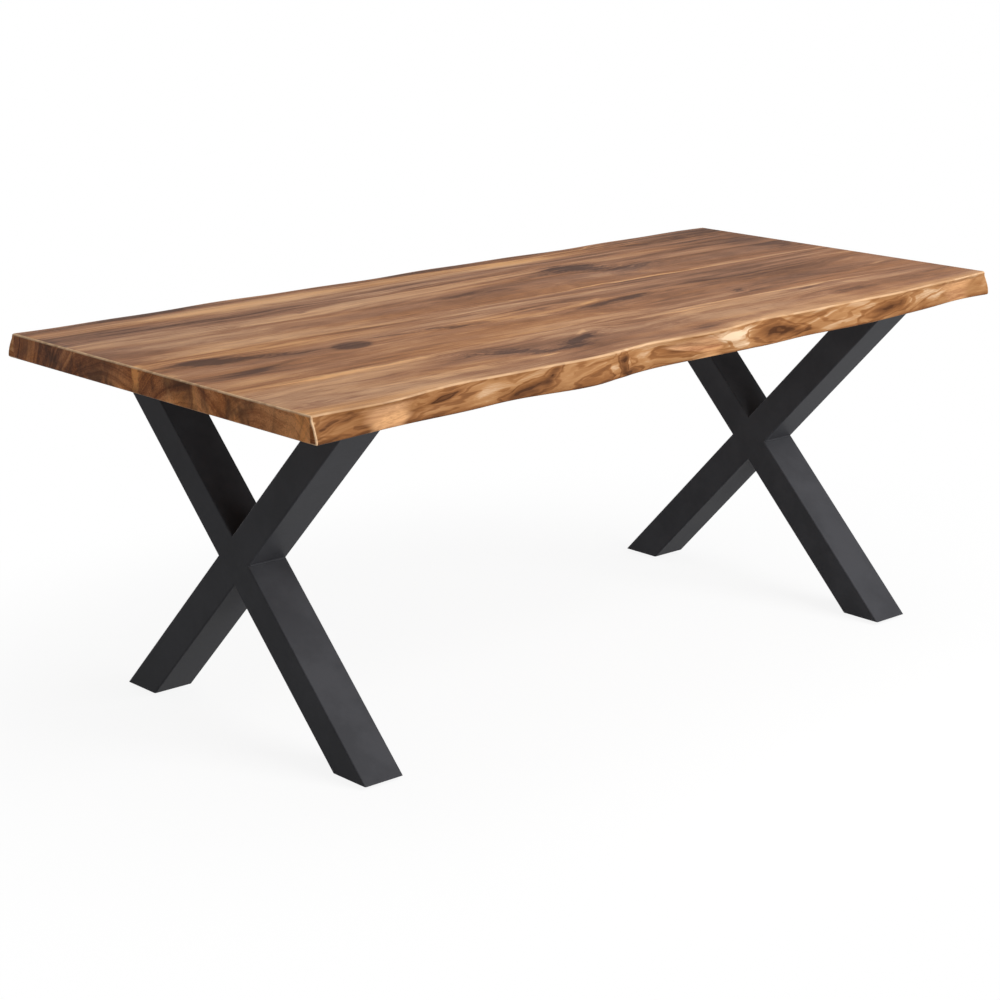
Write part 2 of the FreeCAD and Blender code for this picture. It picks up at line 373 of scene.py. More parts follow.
def push(piece, axis, reach, weight_at):
    """Moves each point along an axis by its own share of reach, with a Displace modifier."""
    group = piece.vertex_groups.new(name="push")
    for vertex in piece.data.vertices:
        group.add([vertex.index], weight_at(vertex.co), "REPLACE")
    modifier = piece.modifiers.new("push", "DISPLACE")
    modifier.direction = axis
    modifier.strength = reach
    modifier.mid_level = 0.0
    modifier.vertex_group = group.name
    apply_modifier(piece, modifier)
    piece.vertex_groups.remove(piece.vertex_groups["push"])


def combine(piece, tool, operation):
    """Cuts a piece with a tool, or keeps what they share. The tool is used up."""
    modifier = piece.modifiers.new("cut", "BOOLEAN")
    modifier.operation = operation
    modifier.solver = "EXACT"
    modifier.object = tool
    apply_modifier(piece, modifier)
    bpy.data.objects.remove(tool)


def drill(piece, diameter, place, sides):
    """Cuts a round hole upwards through a piece, whose underside is at place."""
    start = Vector(place) - Vector((0.0, 0.0, DRILL_START))
    combine(piece, add_rod("hole", diameter, start, DRILL_LENGTH, sides), "DIFFERENCE")


def ease(piece, width, segments, angle=40.0):
    """Rounds the edges that are sharper than an angle in degrees."""
    modifier = piece.modifiers.new("ease", "BEVEL")
    modifier.width = width
    modifier.segments = segments
    modifier.limit_method = "ANGLE"
    modifier.angle_limit = math.radians(angle)
    modifier.use_clamp_overlap = True
    apply_modifier(piece, modifier)


def smooth(piece, angle=35.0):
    """Shades a piece smooth, apart from edges sharper than an angle in degrees."""
    only(piece)
    bpy.ops.object.shade_smooth_by_angle(angle=math.radians(angle))
    modifier = piece.modifiers.new("normals", "WEIGHTED_NORMAL")
    modifier.keep_sharp = True
    apply_modifier(piece, modifier)


def copy_to(piece, name, offset):
    """A copy with a mesh of its own, moved by offset."""
    copy = piece.copy()
    copy.data = piece.data.copy()
    bpy.context.scene.collection.objects.link(copy)
    name_piece(copy, name)
    return set_down(copy, offset)


def join(name, parts):
    bpy.ops.object.select_all(action="DESELECT")
    for part in parts:
        part.select_set(True)
    bpy.context.view_layer.objects.active = parts[0]
    bpy.ops.object.join()
    return name_piece(parts[0], name)


def keep_piece(piece, node, material):
    """Gives a finished piece its finish and its body, and hides the CAD node that it stands for."""
    if not piece.data.polygons:
        raise RuntimeError(piece.name + " came out empty")
    piece.data.materials.clear()
    piece.data.materials.append(material)
    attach(piece, "table")
    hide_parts(node)


def finish_node(node, material):
    """Gives a CAD node, whose shape stays, its finish."""
    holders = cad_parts[node].material_slots
    if not holders:
        raise RuntimeError(node + " has no material slot")
    for holder in holders:
        holder.material = material


def blend_step(value, low, high):
    """0 below low, 1 above high, and a smooth step between them."""
    share = min(1.0, max(0.0, (value - low) / (high - low)))
    return share * share * (3.0 - 2.0 * share)


# Shader nodes

class Graph:
    """Short calls that add and link the nodes of one material or group."""

    def __init__(self, tree):
        self.tree = tree
        self.count = 0

    def node(self, kind, **settings):
        made = self.tree.nodes.new(kind)
        made.location = (220.0 * (self.count // 6), -190.0 * (self.count % 6))
        self.count += 1
        for setting, value in settings.items():
            setattr(made, setting, value)
        return made

    def put(self, socket, value):
        """Links a socket to another one, or sets its value."""
        if isinstance(value, bpy.types.NodeSocket):
            self.tree.links.new(value, socket)
        elif hasattr(socket.default_value, "__len__") and len(socket.default_value) == 4:
            socket.default_value = tuple(value)[:3] + (1.0,)
        else:
            socket.default_value = value

    def fed(self, kind, values, **settings):
        """The outputs of a new node, whose inputs take the values by name or in their order."""
        made = self.node(kind, **settings)
        pairs = values.items() if isinstance(values, dict) else enumerate(values)
        for socket, value in pairs:
            self.put(made.inputs[socket], value)
        return made.outputs

    def math(self, operation, one, two=0.0, three=0.0):
        return self.fed("ShaderNodeMath", (one, two, three), operation=operation)[0]

    def plus(self, tone, value, share):
        """The tone with a share of the value on top."""
        return self.math("MULTIPLY_ADD", value, share, tone)

    def centred(self, value):
        return self.math("SUBTRACT", value, 0.5)

    def vector(self, operation, one, two=(0.0, 0.0, 0.0)):
        outputs = self.fed("ShaderNodeVectorMath", (one, two), operation=operation)
        return outputs["Value" if operation == "LENGTH" else "Vector"]

    def split(self, vector):
        return tuple(self.fed("ShaderNodeSeparateXYZ", (vector,)))

    def gather(self, x, y, z):
        return self.fed("ShaderNodeCombineXYZ", (x, y, z))[0]

    def noise(self, vector, detail, rough, bent=0.0, colour=False, scale=1.0):
        outputs = self.fed("ShaderNodeTexNoise", {
            "Vector": vector, "Scale": scale, "Detail": detail, "Roughness": rough, "Distortion": bent,
        }, noise_dimensions="3D")
        return outputs["Color"] if colour else outputs[0]

    def figure(self, point, stretch, detail, rough, bent=0.0, colour=False):
        """Noise that is closer or longer along each axis."""
        return self.noise(self.vector("MULTIPLY", point, stretch), detail, rough, bent, colour)

    def sway(self, colour, reach):
        """A coloured noise as a shift, by up to half of reach each way."""
        return self.vector("MULTIPLY", self.vector("SUBTRACT", colour, (0.5, 0.5, 0.5)), reach)

    def span(self, value, low, high, to_low=0.0, to_high=1.0):
        """A smooth step between two values, past which it stays level."""
        return self.fed("ShaderNodeMapRange", {
            "Value": value, "From Min": low, "From Max": high, "To Min": to_low, "To Max": to_high,
        }, interpolation_type="SMOOTHSTEP")[0]

    def ramp(self, value, stops):
        made = self.node("ShaderNodeValToRGB")
        band = made.color_ramp
        while len(band.elements) < len(stops):
            band.elements.new(0.5)
        for element, (place, colour) in zip(band.elements, stops):
            element.position = place
            element.color = tuple(colour) + (1.0,)
        self.put(made.inputs[0], value)
        return made.outputs[0]

    def mix(self, share, one, two, kind="MIX"):
        values = {0: share, 6: one, 7: two}
        return self.fed("ShaderNodeMix", values, data_type="RGBA", blend_type=kind)[2]

    def mix_shader(self, share, one, two):
        return self.fed("ShaderNodeMixShader", (share, one, two))[0]

    def group(self, tree, **values):
        named = {name.replace("_", " "): value for name, value in values.items()}
        return self.fed("ShaderNodeGroup", named, node_tree=tree)

    def attribute(self, name):
        made = self.node("ShaderNodeAttribute", attribute_type="GEOMETRY", attribute_name=name)
        return made.outputs["Fac"]

    def bump(self, height, strength, distance):
        values = {"Strength": strength, "Distance": distance, "Height": height}
        return self.fed("ShaderNodeBump", values)["Normal"]


def new_group(name, takes, gives):
    """A node group with inputs of the named kinds, and outputs that are plain values."""
    tree = bpy.data.node_groups.new(name, "ShaderNodeTree")
    for label, kind in takes.items():
        tree.interface.new_socket(label, in_out="INPUT", socket_type="NodeSocket" + kind)
    for label in gives:
        tree.interface.new_socket(label, in_out="OUTPUT", socket_type="NodeSocketFloat")
    graph = Graph(tree)
    return tree, graph, graph.node("NodeGroupInput").outputs, graph.node("NodeGroupOutput").inputs


# Knots in the wood: where their mask starts and is full, how soon they stop pushing the grain, by how much
# they push it, and how deep they go
KNOT_RIM = 1.20
KNOT_HEART = 0.20
KNOT_FADE = -0.9
KNOT_PUSH = -0.75
KNOT_REACH = 0.6


def knot_group():
    """A knot: how far into it a point is, its rings, and how far it pushes the grain aside."""
    tree, graph, given, out = new_group(
        "wood_knot",
        {"Point": "Vector", "Centre": "Vector", "Half Size": "Vector", "Turn": "Float", "Fray": "Float"},
        ("Mask", "Rings", "Push"),
    )
    away = graph.vector("SUBTRACT", given["Point"], given["Centre"])
    back = graph.math("MULTIPLY", given["Turn"], -1.0)
    turned = graph.fed("ShaderNodeVectorRotate", {"Vector": away, "Angle": back}, rotation_type="Z_AXIS")[0]
    far = graph.vector("LENGTH", graph.vector("DIVIDE", turned, given["Half Size"]))
    across = graph.split(away)[Y]
    fade = graph.math("EXPONENT", graph.math("MULTIPLY", graph.math("MULTIPLY", far, far), KNOT_FADE))
    frayed = graph.math("ADD", far, given["Fray"])
    graph.put(out["Mask"], graph.span(frayed, KNOT_RIM, KNOT_HEART))
    graph.put(out["Rings"], frayed)
    graph.put(out["Push"], graph.math("MULTIPLY", graph.math("MULTIPLY", across, fade), KNOT_PUSH))
    return tree


def grain_group():
    """Streaks, fibres and pores of wood whose grain runs along X."""
    tree, graph, given, out = new_group(
        "wood_grain", {"Point": "Vector", "Ring": "Float", "Seed": "Float"},
        ("Broad", "Streak", "Line", "Fibre", "Pore"),
    )
    along = graph.split(given["Point"])[X]

    def streaks(long, fine, shift, detail, rough, bent=0.0):
        place = graph.gather(
            graph.math("MULTIPLY", along, long),
            graph.math("MULTIPLY", given["Ring"], fine),
            graph.math("ADD", given["Seed"], shift),
        )
        return graph.noise(place, detail, rough, bent)

    graph.put(out["Broad"], streaks(1.4, 15.0, 0.3, 3.0, 0.55, 0.4))
    graph.put(out["Streak"], streaks(2.2, 58.0, 4.7, 5.0, 0.62, 0.3))
    graph.put(out["Line"], graph.span(streaks(1.5, 150.0, 9.1, 3.0, 0.60), 0.54, 0.74))
    graph.put(out["Fibre"], graph.figure(given["Point"], (9.0, 520.0, 520.0), 3.0, 0.65))
    holes = graph.figure(given["Point"], (55.0, 1300.0, 1300.0), 1.0, 0.5)
    graph.put(out["Pore"], graph.span(holes, 0.62, 0.74))
    return tree


def mottle_group():
    """Uneven tone, and the fine texture of a coated, plated or moulded surface."""
    tree, graph, given, out = new_group(
        "fine_mottle", {"Point": "Vector", "Blotch Scale": "Float", "Texture Scale": "Float"},
        ("Blotch", "Texture"),
    )
    graph.put(out["Blotch"], graph.noise(given["Point"], 4.0, 0.6, scale=given["Blotch Scale"]))
    graph.put(out["Texture"], graph.noise(given["Point"], 2.0, 0.55, scale=given["Texture Scale"]))
    return tree


def shared_group(name, maker):
    """A node group that is built on its first use."""
    return bpy.data.node_groups.get(name) or maker()


def new_material(name):
    material = bpy.data.materials.new(name)
    material.use_nodes = True
    graph = Graph(material.node_tree)
    shader = material.node_tree.nodes["Principled BSDF"]
    point = graph.node("ShaderNodeTexCoord").outputs["Object"]
    return material, graph, shader.inputs, point


# Marks darker than these have curls or rings about them. Marks that overlap stop at the darkest.
CURL_DEPTH = -0.25
RING_DEPTH = -0.2
DARKEST_MARK = -0.42
NO_RINGS = 9.0

# How much each part of the figure adds to the tone of the boards, and then of the live edges; the live
# edges' darkening towards the underside is painted shade, not figure
GRAIN_SHARES = (("Broad", 0.95), ("Streak", 1.20), ("Fibre", 0.80))
LINE_SHARE = -0.17
PORE_SHARE = -0.07
SAP_SHARE = 0.17
EDGE_FLOW = 0.70
EDGE_STREAK = 0.78
EDGE_LINES = -0.22
EDGE_PAINTED_SHADE = -0.22
EDGE_FIBRE = 0.25
EDGE_TONE = 0.64

# Gloss of the oiled wood and of the coat, strength of the ends' tint, and roughness of the fittings
WOOD_GLOSS = 0.035
COAT_GLOSS = 0.032
END_TINT = 1.50
ZINC_ROUGH = (0.28, 0.42)
BRASS_ROUGH = (0.22, 0.36)
NYLON_ROUGH = (0.44, 0.60)
RUBBER_ROUGH = (0.70, 0.86)

# Figure of the boards: dark knots, and darker (below 0) or lighter (above 0) patches.
# Each is its place along X and across Y, half length, half width, tilt in degrees, and depth of tone.
BACK_KNOTS = (
    (0.345, 0.243, 0.090, 0.040, -38.0, -0.36), (0.440, 0.166, 0.090, 0.024, 18.0, -0.30),
    (0.235, 0.240, 0.110, 0.030, 8.0, -0.16), (-0.612, 0.224, 0.024, 0.012, 0.0, -0.28),
    (-0.412, 0.262, 0.026, 0.011, 25.0, -0.20), (-0.870, 0.190, 0.026, 0.014, 0.0, -0.14),
)
BACK_PATCHES = (
    (-0.640, 0.470, 0.170, 0.024, 0.0, -0.40), (0.080, 0.466, 0.230, 0.026, 0.0, -0.36),
    (0.800, 0.430, 0.300, 0.060, -4.0, -0.30), (-0.800, 0.330, 0.200, 0.036, 2.0, -0.16),
    (-0.150, 0.308, 0.480, 0.018, 0.0, -0.13), (-0.450, 0.400, 0.280, 0.040, 2.0, 0.20),
    (0.260, 0.398, 0.170, 0.036, -3.0, 0.22), (-0.630, 0.090, 0.360, 0.028, 0.0, 0.17),
    (0.890, 0.210, 0.080, 0.120, 0.0, -0.15), (0.540, 0.432, 0.040, 0.005, 22.0, 0.26),
    (0.600, 0.290, 0.160, 0.016, 3.0, 0.10), (-0.100, 0.180, 0.200, 0.020, -4.0, -0.10),
    (0.780, 0.230, 0.340, 0.190, 0.0, -0.13), (-0.955, 0.300, 0.030, 0.100, 0.0, -0.16),
    (0.350, 0.0605, 0.620, 0.0045, 0.0, 0.32),
)
MIDDLE_KNOTS = (
    (-0.837, -0.006, 0.080, 0.036, -18.0, -0.28), (-0.720, -0.040, 0.110, 0.026, -10.0, -0.13),
    (-0.800, -0.138, 0.075, 0.020, 8.0, -0.16),
    (-0.262, -0.072, 0.095, 0.013, -10.0, -0.32), (0.150, -0.088, 0.120, 0.015, 8.0, -0.30),
    (-0.040, -0.056, 0.090, 0.036, 0.0, -0.13), (0.402, -0.187, 0.026, 0.016, 35.0, -0.28),
)
MIDDLE_EYES = ((-0.540, -0.075, 0.044, 0.031, 6.0, -0.38),)
MIDDLE_PATCHES = (
    (-0.420, -0.052, 0.120, 0.005, -14.0, -0.20), (0.080, -0.064, 0.040, 0.006, 22.0, 0.22),
    (-0.205, -0.058, 0.030, 0.005, -32.0, 0.18), (-0.085, -0.104, 0.050, 0.004, -3.0, 0.20),
    (-0.860, -0.200, 0.130, 0.030, 0.0, 0.14), (0.850, -0.085, 0.060, 0.006, 12.0, 0.14),
    (0.880, -0.160, 0.050, 0.006, 8.0, 0.20), (0.150, 0.020, 0.400, 0.014, 1.0, 0.09),
    (-0.450, 0.030, 0.220, 0.020, 0.0, -0.12), (0.480, -0.060, 0.260, 0.030, 2.0, -0.08),
    (0.720, -0.090, 0.420, 0.150, 0.0, -0.14), (-0.960, 0.044, 0.030, 0.013, 0.0, 0.42),
    (-0.960, -0.060, 0.030, 0.016, 0.0, 0.24), (-0.960, -0.150, 0.030, 0.012, 0.0, 0.20),
)
FRONT_KNOTS = (
    (-0.372, -0.324, 0.085, 0.024, -30.0, -0.30), (-0.190, -0.330, 0.085, 0.018, 26.0, -0.27),
    (-0.292, -0.372, 0.085, 0.013, -4.0, -0.33), (-0.455, -0.306, 0.060, 0.014, 12.0, -0.16),
    (-0.880, -0.420, 0.110, 0.030, 0.0, -0.20), (0.170, -0.402, 0.170, 0.018, 5.0, -0.20),
)
FRONT_PATCHES = (
    (-0.690, -0.262, 0.220, 0.009, 1.0, 0.22), (0.120, -0.262, 0.150, 0.006, -1.0, 0.16),
    (0.560, -0.264, 0.110, 0.012, 0.0, -0.20), (0.664, -0.284, 0.030, 0.010, -30.0, 0.20),
    (-0.325, -0.396, 0.030, 0.004, 4.0, 0.40), (-0.150, -0.284, 0.028, 0.006, 28.0, 0.34),
    (-0.420, -0.300, 0.030, 0.005, -40.0, 0.18), (0.700, -0.340, 0.240, 0.030, 2.0, -0.12),
    (-0.620, -0.340, 0.260, 0.022, 2.0, -0.08), (-0.640, -0.400, 0.300, 0.016, 3.0, 0.14),
    (0.500, -0.370, 0.200, 0.016, 4.0, 0.10), (-0.720, -0.340, 0.420, 0.110, 0.0, 0.11),
    (0.740, -0.310, 0.380, 0.120, 0.0, -0.13), (-0.960, -0.330, 0.030, 0.040, 0.0, -0.16),
    (-0.960, -0.430, 0.030, 0.030, 0.0, 0.16), (0.420, -0.2465, 0.420, 0.0040, 0.0, 0.26),
)
# Swirls on the live edges, and one patch of painted shade: place along X, height, half length, half height,
# tilt in degrees, depth of tone
FRONT_SWIRLS = (
    (-0.862, 0.743, 0.030, 0.006, 14.0, -0.30), (-0.775, 0.720, 0.125, 0.011, 7.0, -0.30),
    (-0.850, 0.732, 0.200, 0.036, 4.0, -0.24),
    (-0.645, 0.743, 0.090, 0.007, 8.0, -0.34), (-0.455, 0.722, 0.080, 0.012, 12.0, -0.34),
    (-0.402, 0.738, 0.034, 0.010, 20.0, -0.38), (-0.300, 0.722, 0.065, 0.011, 4.0, -0.30),
    # The dark swirl low at x -0.175, by the underside, is painted shade, not figure
    (-0.200, 0.735, 0.014, 0.020, 0.0, -0.40), (-0.175, 0.713, 0.040, 0.007, 6.0, -0.30),
    (-0.045, 0.735, 0.075, 0.012, -6.0, -0.46), (0.045, 0.734, 0.055, 0.009, -10.0, -0.36),
    (0.250, 0.733, 0.100, 0.013, -4.0, -0.38), (0.585, 0.733, 0.090, 0.014, 6.0, -0.44),
    (0.905, 0.738, 0.050, 0.011, 6.0, -0.14), (0.105, 0.741, 0.088, 0.026, 0.0, 0.42),
    (0.720, 0.740, 0.100, 0.014, 0.0, 0.16), (-0.560, 0.730, 0.060, 0.016, 10.0, 0.16),
    (-0.188, 0.738, 0.050, 0.022, 0.0, -0.16),
)
BACK_SWIRLS = (
    (-0.760, 0.733, 0.090, 0.011, 4.0, -0.34), (-0.470, 0.728, 0.060, 0.012, -8.0, -0.30),
    (-0.180, 0.736, 0.080, 0.009, 6.0, -0.36), (0.140, 0.728, 0.100, 0.012, 3.0, -0.32),
    (0.480, 0.736, 0.050, 0.014, 12.0, -0.36), (0.760, 0.730, 0.090, 0.010, -5.0, -0.30),
    (-0.330, 0.738, 0.070, 0.014, 0.0, 0.22), (0.310, 0.740, 0.070, 0.014, 0.0, 0.20),
)


def knot_mark(graph, point, fray, mark):
    """Mask, rings and push of a mark, which starts with its place, half sizes and tilt."""
    along, across, half_long, half_wide, tilt = mark[:5]
    return graph.group(
        shared_group("wood_knot", knot_group), Point=point, Centre=(along, across, UNDERSIDE),
        Half_Size=(half_long, half_wide, KNOT_REACH), Turn=math.radians(tilt), Fray=fray,
    )


def ring_waves(graph, rings, close, out, full):
    """Waves from ring to ring, which fade in towards the middle."""
    waves = graph.math("SINE", graph.math("MULTIPLY", rings, close))
    return graph.math("MULTIPLY", waves, graph.span(rings, out, full))


def oval_knots(graph, point, fray, eyes):
    """What clean oval knots add to the tone: a dark oval, ringed, darkest along its edge."""
    tone = 0.0
    for eye in eyes:
        depth = eye[-1]
        rings = knot_mark(graph, point, fray, eye)["Rings"]
        tone = graph.plus(tone, graph.span(rings, 1.36, 0.50), depth)
        edge = graph.math("ABSOLUTE", graph.math("SUBTRACT", rings, 0.86))
        tone = graph.plus(tone, graph.span(edge, 0.24, 0.0), 0.25 * depth)
        tone = graph.plus(tone, ring_waves(graph, rings, 22.0, 1.0, 0.8), 0.12 * depth)
    return tone


def tone_patches(graph, point, fray, patches):
    """What knots or patches add to the tone, curls about the dark ones too, and their push on the grain."""
    tone = 0.0
    aside = 0.0
    for patch in patches:
        depth = patch[-1]
        mark = knot_mark(graph, point, fray, patch)
        tone = graph.plus(tone, mark["Mask"], depth)
        tone = graph.plus(tone, graph.span(mark["Rings"], 2.3, 0.4), 0.26 * depth)
        if depth < CURL_DEPTH:
            tone = graph.plus(tone, ring_waves(graph, mark["Rings"], 13.0, 2.2, 0.7), 0.24 * depth)
        aside = graph.math("ADD", mark["Push"], aside)
    return tone, aside


def swirl_rings(graph, point, fray, swirls):
    """What the swirls add to the tone of a live edge, and the rings of the nearest deep one."""
    along, _, up = graph.split(point)
    flat = graph.gather(along, up, UNDERSIDE)
    tone = 0.0
    rings = NO_RINGS
    for swirl in swirls:
        depth = swirl[-1]
        mark = knot_mark(graph, flat, fray, swirl)
        tone = graph.plus(tone, mark["Mask"], depth)
        if depth < RING_DEPTH:
            rings = graph.math("MINIMUM", mark["Rings"], rings)
    return tone, rings


def board_wood(name, seed, pith, lift, knots, eyes, patches, swirls, sap_width):
    """Oiled wood of one board. Its figure is solid, so the ends and the live edge belong to the top."""
    look = bpy.context.scene.table_top
    material, graph, shader, point = new_material(name)
    along = graph.split(point)[X]

    # Uneven growth bends the grain and frays the knots.
    drawn = graph.vector("MULTIPLY", point, (1.8, 6.0, 6.0))
    wander = graph.noise(graph.vector("ADD", drawn, (seed, 0.0, 0.0)), 2.0, 0.5, colour=True)
    bend = graph.sway(wander, (0.0, 0.050, 0.050))
    ragged = graph.figure(point, (9.0, 26.0, 26.0), 2.0, 0.5, colour=True)
    ragged = graph.sway(ragged, (0.060, 0.030, 0.020))
    marked = graph.vector("ADD", point, ragged)
    fray = graph.centred(graph.figure(point, (13.0, 110.0, 110.0), 4.0, 0.66))
    fray = graph.math("MULTIPLY", fray, 2.2)

    dark_marks, aside = tone_patches(graph, marked, fray, knots)
    soft_marks, _ = tone_patches(graph, marked, fray, patches)
    clean = graph.vector("ADD", point, graph.vector("MULTIPLY", ragged, (0.20, 0.20, 0.20)))
    ovals = oval_knots(graph, clean, graph.math("MULTIPLY", fray, 0.22), eyes)

    # Growth rings about the pith, bent round the knots
    bent = graph.vector("ADD", graph.vector("ADD", point, bend), graph.gather(0.0, aside, 0.0))
    _, bent_across, bent_up = graph.split(bent)
    out = graph.math("SUBTRACT", bent_across, pith[0])
    rise = graph.math("SUBTRACT", bent_up, pith[1])
    ring = graph.vector("LENGTH", graph.gather(0.0, out, rise))
    ring = graph.plus(ring, bent_across, 0.45)
    grain = graph.group(shared_group("wood_grain", grain_group), Point=bent, Ring=ring, Seed=seed)

    # The marks follow the streaks, and the figure is calmer towards the right end.
    tone = graph.math("SMOOTH_MAX", graph.math("ADD", dark_marks, soft_marks), DARKEST_MARK, 0.20)
    tone = graph.plus(lift, tone, graph.span(grain["Streak"], 0.28, 0.72, 1.45, 0.60))
    calm = graph.span(along, 0.20, 0.85, 1.0, 0.62)
    for part, share in GRAIN_SHARES:
        tone = graph.plus(tone, graph.math("MULTIPLY", graph.centred(grain[part]), calm), share)
    tone = graph.math("ADD", tone, ovals)
    if swirls:
        depth = graph.attribute("live_depth")
        soft = graph.centred(graph.figure(point, (3.2, 9.0, 9.0), 3.0, 0.55))
        band = graph.plus(depth, soft, 2.4 * sap_width)
        tone = graph.plus(tone, graph.span(band, 1.3 * sap_width, 0.2 * sap_width), SAP_SHARE)
    tone = graph.plus(tone, grain["Line"], LINE_SHARE)
    tone = graph.plus(tone, grain["Pore"], PORE_SHARE)

    dark = Vector(look.dark_wood)
    heart = Vector(look.heartwood)
    light = Vector(look.light_wood)
    colour = graph.ramp(tone, (
        (0.0, dark * 0.75), (0.18, dark), (0.36, dark.lerp(heart, 0.50)), (0.54, heart),
        (0.75, heart.lerp(light, 0.65)), (0.97, light * 1.15),
    ))
    warm = graph.figure(bent, (1.3, 11.0, 11.0), 2.0, 0.5)
    colour = graph.mix(graph.span(warm, 0.46, 0.70, 0.0, 0.60), colour, (0.88, 0.95, 1.10), "MULTIPLY")
    colour = graph.mix(graph.span(warm, 0.54, 0.30, 0.0, 0.80), colour, (1.10, 1.02, 0.78), "MULTIPLY")
    if swirls:
        colour = live_edge_colour(graph, colour, point, depth, grain, swirls, seed)

    # The sawn ends have a tint and dark stripes of their own, and the eased edges get a painted highlight.
    end = graph.span(graph.math("ABSOLUTE", along), HALF_LENGTH - 0.9 * MM, HALF_LENGTH - 0.3 * MM)
    stripe = graph.figure(point, (1.0, 15.0, 12.0), 3.0, 0.55, 0.8)
    tinted = graph.mix(1.0, colour, tuple(Vector(look.end_grain) * END_TINT), "MULTIPLY")
    tinted = graph.mix(graph.span(stripe, 0.44, 0.68, 0.0, 0.75), tinted, tuple(dark * 0.7))
    colour = graph.mix(end, colour, tinted)
    # Painted highlight along the eased edges, unevenly strong
    rim_highlight_share = graph.span(graph.figure(point, (11.0, 40.0, 60.0), 3.0, 0.6), 0.34, 0.62, 0.45, 0.95)
    rim_highlight_share = graph.math("MULTIPLY", graph.attribute("rim"), rim_highlight_share)
    colour = graph.mix(rim_highlight_share, colour, tuple(look.edge_highlight))

    graph.put(shader["Base Color"], colour)
    graph.put(shader["Roughness"], graph.span(grain["Streak"], 0.3, 0.7, 0.56, 0.46))
    shader["Specular IOR Level"].default_value = WOOD_GLOSS
    height = graph.plus(graph.math("MULTIPLY", grain["Fibre"], 0.5), grain["Pore"], -0.8)
    graph.put(shader["Normal"], graph.bump(height, 0.35, 0.25 * MM))
    return material


def live_edge_colour(graph, colour, point, depth, grain, swirls, seed):
    """Golden sapwood with brown swirls on the live edge, with painted shade towards the underside."""
    sap = Vector(bpy.context.scene.table_top.sapwood)
    warp = graph.figure(point, (7.0, 14.0, 20.0), 2.0, 0.5, colour=True)
    moved = graph.vector("ADD", point, graph.sway(warp, (0.10, 0.02, 0.024)))
    fray = graph.centred(graph.figure(moved, (13.0, 40.0, 70.0), 2.5, 0.55))
    swirled, rings = swirl_rings(graph, moved, graph.math("MULTIPLY", fray, 1.5), swirls)
    along, _, up = graph.split(moved)
    climb = graph.math("MULTIPLY", graph.plus(up, along, -0.12), 25.0)
    flow = graph.noise(graph.gather(graph.math("MULTIPLY", along, 2.8), seed, climb), 1.5, 0.5, 0.9)
    lines = graph.math("SINE", graph.plus(graph.math("MULTIPLY", flow, 14.0), rings, 7.0))
    lines = graph.math("MULTIPLY", graph.span(lines, 0.30, 1.0), graph.span(rings, 3.2, 0.9, 0.20, 1.0))
    drift = graph.gather(graph.math("MULTIPLY", flow, 9.0), graph.math("MULTIPLY", along, 3.0), seed)
    streak = graph.noise(drift, 2.5, 0.55)
    uneven = graph.figure(point, (5.0, 1.0, 30.0), 3.0, 0.6)
    low = graph.plus(up, graph.centred(uneven), 0.050)
    tone = graph.plus(EDGE_TONE, graph.centred(flow), EDGE_FLOW)
    tone = graph.plus(tone, graph.centred(streak), EDGE_STREAK)
    tone = graph.math("ADD", swirled, tone)
    tone = graph.plus(tone, lines, EDGE_LINES)
    # Painted shade along the bottom of the live edge, darker towards the underside
    tone = graph.plus(tone, graph.span(low, UNDERSIDE + 18.0 * MM, UNDERSIDE), EDGE_PAINTED_SHADE)
    tone = graph.plus(tone, graph.centred(grain["Fibre"]), EDGE_FIBRE)
    face = graph.ramp(tone, (
        (0.0, (0.065, 0.025, 0.010)), (0.22, (0.122, 0.048, 0.018)), (0.46, (0.235, 0.098, 0.035)),
        (0.68, sap), (0.97, sap.lerp(Vector((0.80, 0.61, 0.42)), 0.75)),
    ))
    return graph.mix(graph.span(depth, 4.5 * MM, 1.0 * MM), colour, face)


def mottled(name, colour, shades, spread, rough, rough_by, scales, bump):
    """A finish that is mottled between two shades of a colour, and the inputs of its shader."""
    material, graph, shader, point = new_material(name)
    mottle = graph.group(
        shared_group("fine_mottle", mottle_group), Point=point,
        Blotch_Scale=scales[0], Texture_Scale=scales[1],
    )
    dark, light = (tuple(Vector(colour) * shade) for shade in shades)
    graph.put(shader["Base Color"], graph.mix(graph.span(mottle["Blotch"], *spread), dark, light))
    graph.put(shader["Roughness"], graph.span(mottle[rough_by], 0.3, 0.7, *rough))
    graph.put(shader["Normal"], graph.bump(mottle["Texture"], *bump))
    return material, shader


def powder_coat(name):
    """Satin black coat of the frames, slightly pebbled."""
    material, shader = mottled(
        name, bpy.context.scene.table_frames.coat, (0.90, 1.12), (0.35, 0.65),
        (0.42, 0.50), "Blotch", (9.0, 620.0), (0.12, 0.2 * MM),
    )
    shader["Specular IOR Level"].default_value = COAT_GLOSS
    return material


def plated_metal(name, colour, rough):
    """Bare or plated metal of the small fittings."""
    material, shader = mottled(
        name, colour, (0.82, 1.08), (0.3, 0.7), rough, "Blotch", (240.0, 2400.0), (0.15, 0.05 * MM),
    )
    shader["Metallic"].default_value = 1.0
    return material


def moulded(name, colour, rough, texture_scale):
    """Matt nylon or rubber with a fine moulded grain."""
    return mottled(
        name, colour, (0.85, 1.2), (0.3, 0.7), rough, "Texture", (60.0, texture_scale), (0.25, 0.1 * MM),
    )[0]


